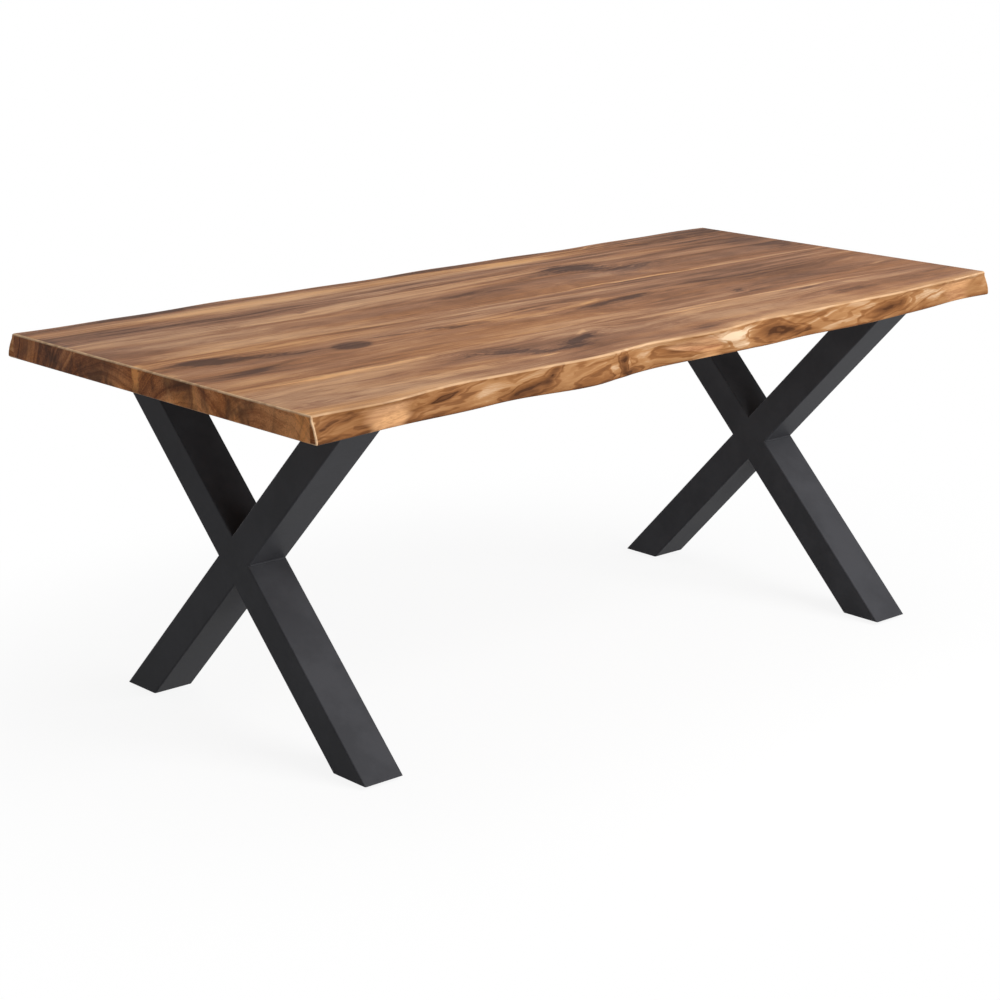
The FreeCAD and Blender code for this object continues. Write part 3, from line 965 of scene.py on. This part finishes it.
def dowel_wood(name):
    """Raw wood of the dowels, with its fibres along them."""
    tint = Vector(bpy.context.scene.table_fittings.dowel)
    material, graph, shader, point = new_material(name)
    fine = graph.figure(point, (700.0, 20.0, 700.0), 3.0, 0.6)
    shade = graph.mix(graph.span(fine, 0.3, 0.7), tuple(tint * 0.8), tuple(tint * 1.1))
    graph.put(shader["Base Color"], shade)
    graph.put(shader["Roughness"], graph.span(fine, 0.3, 0.7, 0.6, 0.7))
    graph.put(shader["Normal"], graph.bump(fine, 0.3, 0.1 * MM))
    return material


def shared_material(name, maker, *values):
    """A finish that is built on its first use."""
    return bpy.data.materials.get(name) or maker(name, *values)


# Top boards

# The live edges' surface: how far it is worn in all over, then how deep its facets and ripples are, both in
# millimetres, and how close they lie along X and Z. The last number sets the pattern.
WEAR = 1.2
FACETS = (1.5, 8.0, 30.0, 4.0)
RIPPLES = (0.5, 26.0, 75.0, 9.0)

# How far inside its edge a live face starts, the longest push, and how strong the painted highlight along
# the long edges is, as a share of that on the ends
LIVE_START = 8.0 * MM
PUSH_REACH = 150.0 * MM
SIDE_RIM_HIGHLIGHT = 0.55


def edge_relief(edge, folds, x, z):
    """How far inside the CAD edge the worn and folded surface lies, in metres."""
    drop = (TOP_FACE - z) / THICKNESS
    depth = WEAR
    for high, close_x, close_z, pattern in (FACETS, RIPPLES):
        place = Vector((x * close_x, z * close_z, pattern + edge.way))
        depth += high * (0.5 + 0.5 * noise.noise(place))
    for place, height, half_long, half_wide, deep, tilt in folds:
        along = x - place
        off = z - height - tilt * along
        depth += deep * math.exp(-(along / half_long) ** 2 - (off / half_wide) ** 2)
    return max(0.0, depth) * MM * blend_step(drop, 0.02, 0.22)


def mark_board(piece, edge):
    """Writes how deep each point lies behind the live edge, and how strong the painted highlight is where
    the eased edges are.
    """
    eased = bpy.context.scene.table_top.eased_edge
    depths = piece.data.attributes.new("live_depth", "FLOAT", "POINT")
    rim_highlights = piece.data.attributes.new("rim", "FLOAT", "POINT")
    for vertex in piece.data.vertices:
        x, y, z = vertex.co
        from_top = TOP_FACE - z
        near_top = NEAR < from_top < eased - NEAR
        near_end = NEAR < HALF_LENGTH - abs(x) < eased - NEAR
        rim = near_top and near_end
        depth = 1.0
        if edge:
            depth = edge.reach(x, 0.0) - abs(y)
            beyond = edge.reach(x, from_top / THICKNESS) - abs(y)
            rim = rim or (near_top and depth < eased) or (near_end and beyond < 2.0 * eased)
        depths.data[vertex.index].value = depth
        # Painted highlight: full near the ends, a share of it along the other edges of the top
        if rim:
            rim_highlights.data[vertex.index].value = 1.0 if near_end else SIDE_RIM_HIGHLIGHT


def make_board(name, low_y, high_y, edge, folds):
    """A board, from a plain block. Its live face starts flat and is pushed out to the edge's shape."""
    look = bpy.context.scene.table_top
    eased = look.eased_edge
    start = 0.0
    if edge:
        stations = [HALF_LENGTH * step / EDGE_STATIONS for step in range(-EDGE_STATIONS, EDGE_STATIONS + 1)]
        start = min(edge.reach(x, 0.0) for x in stations) - LIVE_START
        if edge.way > 0:
            high_y = start
        else:
            low_y = -start
    piece = add_block(name, (-HALF_LENGTH, low_y, UNDERSIDE), (HALF_LENGTH, high_y, TOP_FACE))
    seams = [y for y in (low_y, high_y) if abs(abs(y) - start) > CLOSE]

    def on_seam(one, two):
        return any(abs(one.y - seam) < CLOSE and abs(two.y - seam) < CLOSE for seam in seams)

    def outer(one, two):
        at_end = abs(abs(one.x) - HALF_LENGTH) < CLOSE and abs(one.x - two.x) < CLOSE
        at_live = bool(edge) and abs(abs(one.y) - start) < CLOSE and abs(abs(two.y) - start) < CLOSE
        return (at_end or at_live) and not on_seam(one, two)

    fine_cuts, upright_cuts = LIVE_CUTS if edge else PLAIN_CUTS
    with editing(piece):
        select_edges(piece, outer)
        bevel(eased, EDGE_STEPS)
        select_edges(piece, on_seam)
        bevel(look.seam_ease, SEAM_STEPS)
        divide(piece, X, HALF_LENGTH, COARSE_CUTS)
        divide(piece, X, HALF_LENGTH / 50.0, fine_cuts)
        divide(piece, Z, THICKNESS / 2.0, upright_cuts)
        divide(piece, Y, 100.0 * MM, ACROSS_CUTS)
    if edge:
        seam = abs(seams[0]) * (1.0 if seams[0] * edge.way > 0 else -1.0)

        def share(point):
            x, y, z = point
            drop = min(1.0, max(0.0, (TOP_FACE - z) / THICKNESS))
            out = edge.reach(x, drop) - edge_relief(edge, folds, x, z) * look.edge_relief - start
            inward = (y * edge.way - seam) / (start - eased - seam)
            return out / PUSH_REACH * min(1.0, max(0.0, inward))

        push(piece, "Y", edge.way * PUSH_REACH, share)
    mark_board(piece, edge)
    smooth(piece, 30.0)
    return piece


class TABLE_OT_top_boards(bpy.types.Operator):
    """Model the three edge-glued boards of the top, two of them with a live edge"""

    bl_idname = "table.top_boards"
    bl_label = "Top Boards"

    def execute(self, context):
        back_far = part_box("back_board")[1][1]
        front_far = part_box("front_board")[0][1]
        # Node, its sides, its live edge with the folds, and its figure: seed, pith (Y, Z), tone, marks and
        # the width of the sapwood
        boards = (
            ("back_board", BACK_SEAM, back_far, BACK_EDGE, BACK_FOLDS,
             (3.7, (0.215, 0.60), 0.57, BACK_KNOTS, (), BACK_PATCHES, BACK_SWIRLS, 0.008)),
            ("middle_board", FRONT_SEAM, BACK_SEAM, None, (),
             (11.3, (-0.060, 0.62), 0.54, MIDDLE_KNOTS, MIDDLE_EYES, MIDDLE_PATCHES, (), 0.0)),
            ("front_board", front_far, FRONT_SEAM, FRONT_EDGE, FRONT_FOLDS,
             (19.9, (-0.290, 0.61), 0.58, FRONT_KNOTS, (), FRONT_PATCHES, FRONT_SWIRLS, 0.040)),
        )
        for node, low_y, high_y, edge, folds, figure in boards:
            piece = make_board(node + "_wood", low_y, high_y, edge, folds)
            keep_piece(piece, node, board_wood(node + "_oiled", *figure))
        return {"FINISHED"}


# X-frames. A leg leans +1 when its foot is at the back and its head at the front, and -1 the other way.

def leg_bar(name, side, lean, inset=0.0):
    """A solid bar of the tube's outline, or drawn in from it, longer than the leg and in its place."""
    corner = max(bpy.context.scene.table_frames.tube_corner - inset, LEAST_CORNER)
    half = (UNDERSIDE / math.sin(LEG_ANGLE) + 4.0 * TUBE_WIDTH) / 2.0
    reach = Vector((TUBE_DEPTH / 2.0 - inset, TUBE_WIDTH / 2.0 - inset, half))
    bar = add_block(name, -reach, reach)
    with editing(bar):
        select_edges(bar, runs_along(Z, half))
        bevel(corner, CORNER_STEPS)
    turn = (lean * (math.pi / 2.0 - LEG_ANGLE), 0.0, 0.0)
    return set_down(bar, (side * FRAME_PLACE, FRAME_CENTRE, CROSSING), turn)


def cope(tube, side, lean, part):
    """Fits a short tube to the long one, so that their outer faces are flush at the crossing."""
    way = 1.0 if part == "upper" else -1.0
    inward = Vector((0.0, math.sin(LEG_ANGLE), -math.cos(LEG_ANGLE))) * way
    cut_off(tube, (side * FRAME_PLACE, FRAME_CENTRE, CROSSING), inward)
    tool = leg_bar("cope", side, -lean)
    widen = 1.0 + COPE_ROOM / TUBE_DEPTH
    set_down(tool, (side * FRAME_PLACE * (1.0 - widen), 0.0, 0.0), scale=(widen, 1.0, 1.0))
    combine(tube, tool, "DIFFERENCE")


def make_tube(name, side, lean, part):
    """The long tube of a frame, or the upper or lower one that meets it at the crossing."""
    tube = leg_bar(name, side, lean)
    if part != "upper":
        cut_off(tube, (0.0, 0.0, TUBE_BOTTOM), (0.0, 0.0, -1.0))
    if part != "lower":
        cut_off(tube, (0.0, 0.0, TUBE_TOP), (0.0, 0.0, 1.0))
    if part != "long":
        cope(tube, side, lean, part)
    combine(tube, leg_bar("bore", side, lean, TUBE_WALL), "DIFFERENCE")
    smooth(tube, 30.0)
    return tube


class TABLE_OT_frame_tubes(bpy.types.Operator):
    """Model the six steel tubes of the two X-frames"""

    bl_idname = "table.frame_tubes"
    bl_label = "Frame Tubes"

    def execute(self, context):
        coat = shared_material("black_powder_coat", powder_coat)
        for name, side in SIDES:
            for part, lean in (("long", -1), ("upper", 1), ("lower", 1)):
                node = name + "_" + part + "_leg"
                keep_piece(make_tube(node + "_tube", side, lean, part), node, coat)
        return {"FINISHED"}


def bolt_places(side):
    """Where a frame's bolts stand, in X and Y."""
    places = []
    for column in (-1, 1):
        for row in BOLT_ROWS:
            places.append((side * FRAME_PLACE + column * BOLT_COLUMN, FRAME_CENTRE + row))
    return places


def slot_cutter(x, y):
    """A round-ended slot, drawn out along Y from a cylinder."""
    height = PLATE_HIGH.z - PLATE_LOW.z
    cutter = add_rod("slot", BOLT_HOLE, (0.0, 0.0, PLATE_LOW.z - height), 3.0 * height, ROD_SIDES)
    for way in (-1, 1):
        with editing(cutter):
            bpy.ops.mesh.select_mode(type="VERT")
            shape = bmesh.from_edit_mesh(cutter.data)
            for vertex in shape.verts:
                vertex.select_set(vertex.co.y * way > CLOSE)
            bmesh.update_edit_mesh(cutter.data)
            bpy.ops.transform.translate(value=(0.0, way * SLOT_PLAY / 2.0, 0.0))
    return set_down(cutter, (x, y, 0.0))


def make_top_plate(name, node, side):
    """A plate with rounded corners, and slots across the grain for the bolts."""
    plate = add_block(name, *corners(node))
    with editing(plate):
        select_edges(plate, runs_along(Z, 1.0 * MM))
        bevel(PLATE_CORNER, CORNER_STEPS)
    for x, y in bolt_places(side):
        combine(plate, slot_cutter(x, y), "DIFFERENCE")
    ease(plate, PLATE_EASE, EASE_STEPS)
    smooth(plate)
    return plate


def make_foot_plate(name, node, side, lean):
    """A slice of the leg's outline, with a hole for the glide's stud."""
    low, high = corners(node)
    plate = leg_bar(name, side, lean)
    cut_off(plate, (0.0, 0.0, low.z), (0.0, 0.0, -1.0))
    cut_off(plate, (0.0, 0.0, high.z), (0.0, 0.0, 1.0))
    stud_low, stud_high = corners(node.replace("_foot_plate", "_glide_stud"))
    middle = (stud_low + stud_high) / 2.0
    drill(plate, STUD_HOLE, (middle.x, middle.y, low.z), HOLE_SIDES)
    ease(plate, FOOT_EASE, EASE_STEPS)
    smooth(plate)
    return plate


class TABLE_OT_plates(bpy.types.Operator):
    """Model the slotted top plates and the plates that close the feet"""

    bl_idname = "table.plates"
    bl_label = "Plates"

    def execute(self, context):
        coat = shared_material("black_powder_coat", powder_coat)
        for name, side in SIDES:
            node = name + "_top_plate"
            keep_piece(make_top_plate(node + "_steel", node, side), node, coat)
            for end, lean in ENDS:
                node = name + "_" + end + "_foot_plate"
                keep_piece(make_foot_plate(node + "_steel", node, side, lean), node, coat)
        return {"FINISHED"}


def weld_bead(start, end, bulge):
    """A rippled bead along a corner, from start to end, standing out along bulge."""
    run = end - start
    half = run.length / 2.0
    ripple = bpy.context.scene.table_frames.weld_ripple
    bead = add_rod("bead", 2.0 * BEAD_RADIUS, (0.0, 0.0, -half), run.length, BEAD_SIDES)
    with editing(bead):
        divide(bead, Z, half, min(MOST_CUTS, int(run.length / ripple * RIPPLE_CUTS)))

    def thin_out(point):
        wave = abs(math.sin(math.pi * point.z / ripple))
        tip = blend_step(half - abs(point.z), 0.0, 2.0 * BEAD_RADIUS)
        return RIPPLE_SHARE * wave * tip + 1.0 - tip

    push(bead, "NORMAL", -BEAD_TAPER, thin_out)
    turn = run.to_track_quat("Z", "Y").to_euler("XYZ")
    return set_down(bead, (start + end) / 2.0 + bulge * BEAD_LIFT, turn)


def crossing_beads(side):
    """The four beads in the inner corners of the crossing."""
    half = (TUBE_DEPTH - 2.0 * bpy.context.scene.table_frames.tube_corner) / 2.0
    middle = Vector((side * FRAME_PLACE, FRAME_CENTRE, CROSSING))
    step = Vector((half, 0.0, 0.0))
    one = Vector((0.0, math.cos(LEG_ANGLE), math.sin(LEG_ANGLE)))
    two = Vector((0.0, -math.cos(LEG_ANGLE), math.sin(LEG_ANGLE)))
    reach = TUBE_WIDTH / 2.0 / math.sin(2.0 * LEG_ANGLE)
    beads = []
    for first in (-1, 1):
        for second in (-1, 1):
            bulge = one * first + two * second
            corner = middle + bulge * reach
            beads.append(weld_bead(corner - step, corner + step, bulge))
    return beads


def head_beads(side, lean):
    """The four beads between a leg's head and the top plate."""
    aside = (TUBE_TOP - CROSSING) / math.tan(LEG_ANGLE)
    middle = Vector((side * FRAME_PLACE, FRAME_CENTRE - lean * aside, TUBE_TOP))
    corner = bpy.context.scene.table_frames.tube_corner
    half_depth = TUBE_DEPTH / 2.0
    half_length = FOOT_LENGTH / 2.0
    cross = Vector((half_depth - corner, 0.0, 0.0))
    along = Vector((0.0, half_length - corner - 2.0 * WELD_LEG, 0.0))
    beads = []
    for way in (-1, 1):
        edge = middle + Vector((0.0, way * half_length, 0.0))
        beads.append(weld_bead(edge - cross, edge + cross, Vector((0.0, way, -1.0))))
        edge = middle + Vector((way * half_depth, 0.0, 0.0))
        beads.append(weld_bead(edge - along, edge + along, Vector((way, 0.0, -1.0))))
    return beads


class TABLE_OT_welds(bpy.types.Operator):
    """Model the rippled weld beads at the crossings and under the top plates"""

    bl_idname = "table.welds"
    bl_label = "Welds"

    def execute(self, context):
        coat = shared_material("black_powder_coat", powder_coat)
        for name, side in SIDES:
            node = name + "_welds"
            beads = crossing_beads(side) + head_beads(side, -1) + head_beads(side, 1)
            piece = join(node + "_beads", beads)
            smooth(piece, 60.0)
            keep_piece(piece, node, coat)
        return {"FINISHED"}


# Fasteners

def make_bolt():
    """A hex bolt, head down, about the origin's upright."""
    low = (0.0, 0.0, BOLT_LOW.z)
    head_height = BOLT_SEAT - BOLT_LOW.z
    head = add_rod("bolt", 2.0 * BOLT_FLATS / math.sqrt(3.0), low, head_height, 6)
    round_tool = add_rod("round", HEAD_ROUND, low, head_height, ROUND_SIDES)
    with editing(round_tool):
        select_edges(round_tool, lambda one, two: max(one.z, two.z) < BOLT_LOW.z + NEAR)
        bevel(HEAD_CHAMFER, 1)
    combine(head, round_tool, "INTERSECT")
    ease(head, HEAD_EASE, 1, 25.0)
    shank = add_rod("shank", BOLT_DIAMETER, (0.0, 0.0, BOLT_SEAT), BOLT_HIGH.z - BOLT_SEAT, ROD_SIDES)
    with editing(shank):
        select_edges(shank, lambda one, two: min(one.z, two.z) > BOLT_HIGH.z - NEAR)
        bevel(TIP_CHAMFER, 1)
    return join("bolt", [head, shank])


def make_washer():
    """A washer about the origin's upright."""
    low = (0.0, 0.0, WASHER_LOW.z)
    washer = add_rod("washer", WASHER_DIAMETER, low, WASHER_HIGH.z - WASHER_LOW.z, ROUND_SIDES)
    drill(washer, BOLT_HOLE, low, ROUND_SIDES)
    ease(washer, WASHER_EASE, EASE_STEPS)
    return washer


class TABLE_OT_fasteners(bpy.types.Operator):
    """Model the bolts and washers that hold the top on the frames"""

    bl_idname = "table.fasteners"
    bl_label = "Bolts and Washers"

    def execute(self, context):
        look = context.scene.table_fittings
        zinc = shared_material("zinc_plate", plated_metal, look.zinc, ZINC_ROUGH)
        for master, kind in ((make_bolt(), "_top_bolts"), (make_washer(), "_top_washers")):
            for name, side in SIDES:
                node = name + kind
                copies = []
                for x, y in bolt_places(side):
                    copies.append(copy_to(master, node + "_copy", (x, y, 0.0)))
                piece = join(node + "_set", copies)
                smooth(piece, 30.0)
                keep_piece(piece, node, zinc)
            bpy.data.objects.remove(master)
        return {"FINISHED"}


class TABLE_OT_hidden_fittings(bpy.types.Operator):
    """Finish the dowels, inserts, weld nuts and studs, whose CAD shapes stay"""

    bl_idname = "table.hidden_fittings"
    bl_label = "Hidden Fittings"

    def execute(self, context):
        look = context.scene.table_fittings
        zinc = shared_material("zinc_plate", plated_metal, look.zinc, ZINC_ROUGH)
        brass = shared_material("turned_brass", plated_metal, look.brass, BRASS_ROUGH)
        finish_node("board_dowels", shared_material("dowel_beech", dowel_wood))
        for name, _ in SIDES:
            finish_node(name + "_wood_inserts", brass)
            finish_node(name + "_foot_nuts", zinc)
            for end, _ in ENDS:
                finish_node(name + "_" + end + "_glide_stud", zinc)
        return {"FINISHED"}


class TABLE_OT_glides(bpy.types.Operator):
    """Finish the fluted glide bases and their pads, whose CAD shapes stay"""

    bl_idname = "table.glides"
    bl_label = "Levelling Glides"

    def execute(self, context):
        look = context.scene.table_fittings
        nylon = shared_material("moulded_nylon", moulded, look.nylon, NYLON_ROUGH, 900.0)
        rubber = shared_material("moulded_rubber", moulded, look.rubber, RUBBER_ROUGH, 500.0)
        for name, _ in SIDES:
            for end, _ in ENDS:
                finish_node(name + "_" + end + "_glide_base", nylon)
                finish_node(name + "_" + end + "_glide_pad", rubber)
        return {"FINISHED"}


# Stage

WHITE = (1.0, 1.0, 1.0)

# The floor: its radius, how far it lies below the pads, and the oval about the table where shadows fade out
FLOOR_RADIUS = 30.0
FLOOR_DROP = 0.3 * MM
FLOOR_OVAL = (0.75, 1.0, 1.0)
FLOOR_FADE = (0.7, 1.5)

# The camera: its place, its bearing, pitch and roll in degrees, its lens and sensor in millimetres
CAMERA_PLACE = (-3.3386, -3.7245, 1.7047)
CAMERA_ANGLES = (-40.931, 15.255, -0.623)
CAMERA_LENS = 88.758
SENSOR_WIDTH = 36.0
VIEW_END = 100.0

# Lamps: name, place, where they point, width, height, and the setting that holds their power
LAMPS = (
    ("key_light", (1.3, -4.0, 3.7), (0.0, 0.0, 0.5), 3.6, 2.4, "key"),
    ("front_fill_light", (0.2, -4.2, 0.8), (0.0, 0.0, 0.5), 3.5, 1.1, "front_fill"),
    ("back_fill_light", (-0.3, 4.2, 0.55), (0.0, 0.0, 0.5), 3.5, 0.9, "back_fill"),
    ("overhead_light", (0.3, 0.6, 4.2), (0.0, 0.0, 0.7), 4.0, 3.0, "overhead"),
)


def looked_at(graph):
    """1 for what the camera sees, straight on, in a reflection or through glass."""
    path = graph.node("ShaderNodeLightPath").outputs
    views = graph.math("MAXIMUM", path["Is Camera Ray"], path["Is Glossy Ray"])
    return graph.math("MAXIMUM", views, path["Is Transmission Ray"])


def floor_finish():
    """White with a light shadow where it is looked at, clear from below, and pale grey to other light."""
    look = bpy.context.scene.table_stage
    material = bpy.data.materials.new("studio_floor")
    material.use_nodes = True
    tree = material.node_tree
    tree.nodes.remove(tree.nodes["Principled BSDF"])
    graph = Graph(tree)
    shaded = 1.0 - look.floor_glow
    matt = graph.fed("ShaderNodeBsdfDiffuse", {"Color": look.floor})[0]
    lit = graph.fed("ShaderNodeBsdfDiffuse", {"Color": (shaded, shaded, shaded)})[0]
    glow = graph.fed("ShaderNodeEmission", {"Strength": look.floor_glow})[0]
    seen = graph.fed("ShaderNodeAddShader", (lit, glow))[0]
    white = graph.fed("ShaderNodeEmission", {"Strength": 1.0})[0]
    point = graph.node("ShaderNodeTexCoord").outputs["Object"]
    around = graph.vector("LENGTH", graph.vector("MULTIPLY", point, FLOOR_OVAL))
    faded = graph.mix_shader(graph.span(around, *FLOOR_FADE), seen, white)
    shown = graph.mix_shader(looked_at(graph), matt, faded)
    clear = graph.node("ShaderNodeBsdfTransparent").outputs[0]
    from_below = graph.node("ShaderNodeNewGeometry").outputs["Backfacing"]
    surface = graph.mix_shader(from_below, shown, clear)
    graph.put(tree.nodes["Material Output"].inputs["Surface"], surface)
    return material


def make_floor():
    bpy.ops.object.select_all(action="DESELECT")
    bpy.ops.mesh.primitive_circle_add(vertices=96, radius=FLOOR_RADIUS, fill_type="NGON")
    floor = name_piece(bpy.context.object, "studio_floor")
    set_down(floor, (0.0, 0.0, -FLOOR_DROP))
    floor.data.materials.append(floor_finish())


def make_world():
    """Soft light from all round, which shows as white where it is looked at."""
    world = bpy.data.worlds.new("studio")
    bpy.context.scene.world = world
    world.use_nodes = True
    tree = world.node_tree
    graph = Graph(tree)
    soft = tree.nodes["Background"]
    graph.put(soft.inputs["Color"], WHITE)
    graph.put(soft.inputs["Strength"], bpy.context.scene.table_stage.surround)
    white = graph.fed("ShaderNodeBackground", {"Color": WHITE, "Strength": 1.0})[0]
    shown = graph.mix_shader(looked_at(graph), soft.outputs[0], white)
    graph.put(tree.nodes["World Output"].inputs["Surface"], shown)


def add_lamp(name, place, target, width, height, power):
    """A soft area lamp that points at its target."""
    data = bpy.data.lights.new(name, "AREA")
    data.shape = "RECTANGLE"
    data.size = width
    data.size_y = height
    data.energy = power
    lamp = bpy.data.objects.new(name, data)
    bpy.context.scene.collection.objects.link(lamp)
    lamp.location = place
    lamp.rotation_euler = (Vector(target) - Vector(place)).to_track_quat("-Z", "Y").to_euler()


def make_camera():
    """The photograph's view: where the camera stands, and its bearing, pitch and roll."""
    bearing, pitch, roll = (math.radians(angle) for angle in CAMERA_ANGLES)
    data = bpy.data.cameras.new("photo_view")
    data.sensor_width = SENSOR_WIDTH
    data.lens = CAMERA_LENS
    data.clip_end = VIEW_END
    camera = bpy.data.objects.new("photo_view", data)
    bpy.context.scene.collection.objects.link(camera)
    ahead = Vector((
        -math.sin(bearing) * math.cos(pitch), math.cos(bearing) * math.cos(pitch), -math.sin(pitch),
    ))
    right = ahead.cross(Vector((0.0, 0.0, 1.0))).normalized()
    above = right.cross(ahead)
    tilted_right = right * math.cos(roll) + above * math.sin(roll)
    tilted_above = above * math.cos(roll) - right * math.sin(roll)
    rows = [(tilted_right[row], tilted_above[row], -ahead[row], CAMERA_PLACE[row]) for row in (X, Y, Z)]
    camera.matrix_world = Matrix(rows + [(0.0, 0.0, 0.0, 1.0)])
    bpy.context.scene.camera = camera


class TABLE_OT_stage(bpy.types.Operator):
    """Lay the pale floor and set up the soft studio light and the camera"""

    bl_idname = "table.stage"
    bl_label = "Stage"

    def execute(self, context):
        look = context.scene.table_stage
        make_floor()
        make_world()
        for name, place, target, width, height, setting in LAMPS:
            add_lamp(name, place, target, width, height, getattr(look, setting))
        make_camera()
        context.scene.view_settings.view_transform = "Standard"
        return {"FINISHED"}


# Panel and registration

STEPS = (
    TABLE_OT_top_boards, TABLE_OT_frame_tubes, TABLE_OT_plates, TABLE_OT_welds, TABLE_OT_fasteners,
    TABLE_OT_hidden_fittings, TABLE_OT_glides, TABLE_OT_stage,
)
SETTINGS = (
    ("table_top", TopSettings), ("table_frames", FrameSettings),
    ("table_fittings", FittingSettings), ("table_stage", StageSettings),
)


class TABLE_PT_sidebar(bpy.types.Panel):
    """The table's steps and settings"""

    bl_idname = "TABLE_PT_sidebar"
    bl_label = "Dining Table"
    bl_space_type = "VIEW_3D"
    bl_region_type = "UI"
    bl_category = "Table"

    def draw(self, context):
        for step in STEPS:
            self.layout.operator(step.bl_idname)
        for name, kind in SETTINGS:
            box = self.layout.box()
            for setting in kind.__annotations__:
                box.prop(getattr(context.scene, name), setting)


def register():
    for name, kind in SETTINGS:
        bpy.utils.register_class(kind)
        setattr(bpy.types.Scene, name, PointerProperty(type=kind))
    for step in STEPS:
        bpy.utils.register_class(step)
    bpy.utils.register_class(TABLE_PT_sidebar)


def unregister():
    bpy.utils.unregister_class(TABLE_PT_sidebar)
    for step in reversed(STEPS):
        bpy.utils.unregister_class(step)
    for name, kind in reversed(SETTINGS):
        delattr(bpy.types.Scene, name)
        bpy.utils.unregister_class(kind)


def main():
    register()
    bpy.ops.table.top_boards()
    bpy.ops.table.frame_tubes()
    bpy.ops.table.plates()
    bpy.ops.table.welds()
    bpy.ops.table.fasteners()
    bpy.ops.table.hidden_fittings()
    bpy.ops.table.glides()
    bpy.ops.table.stage()


if __name__ == "__main__":
    main()
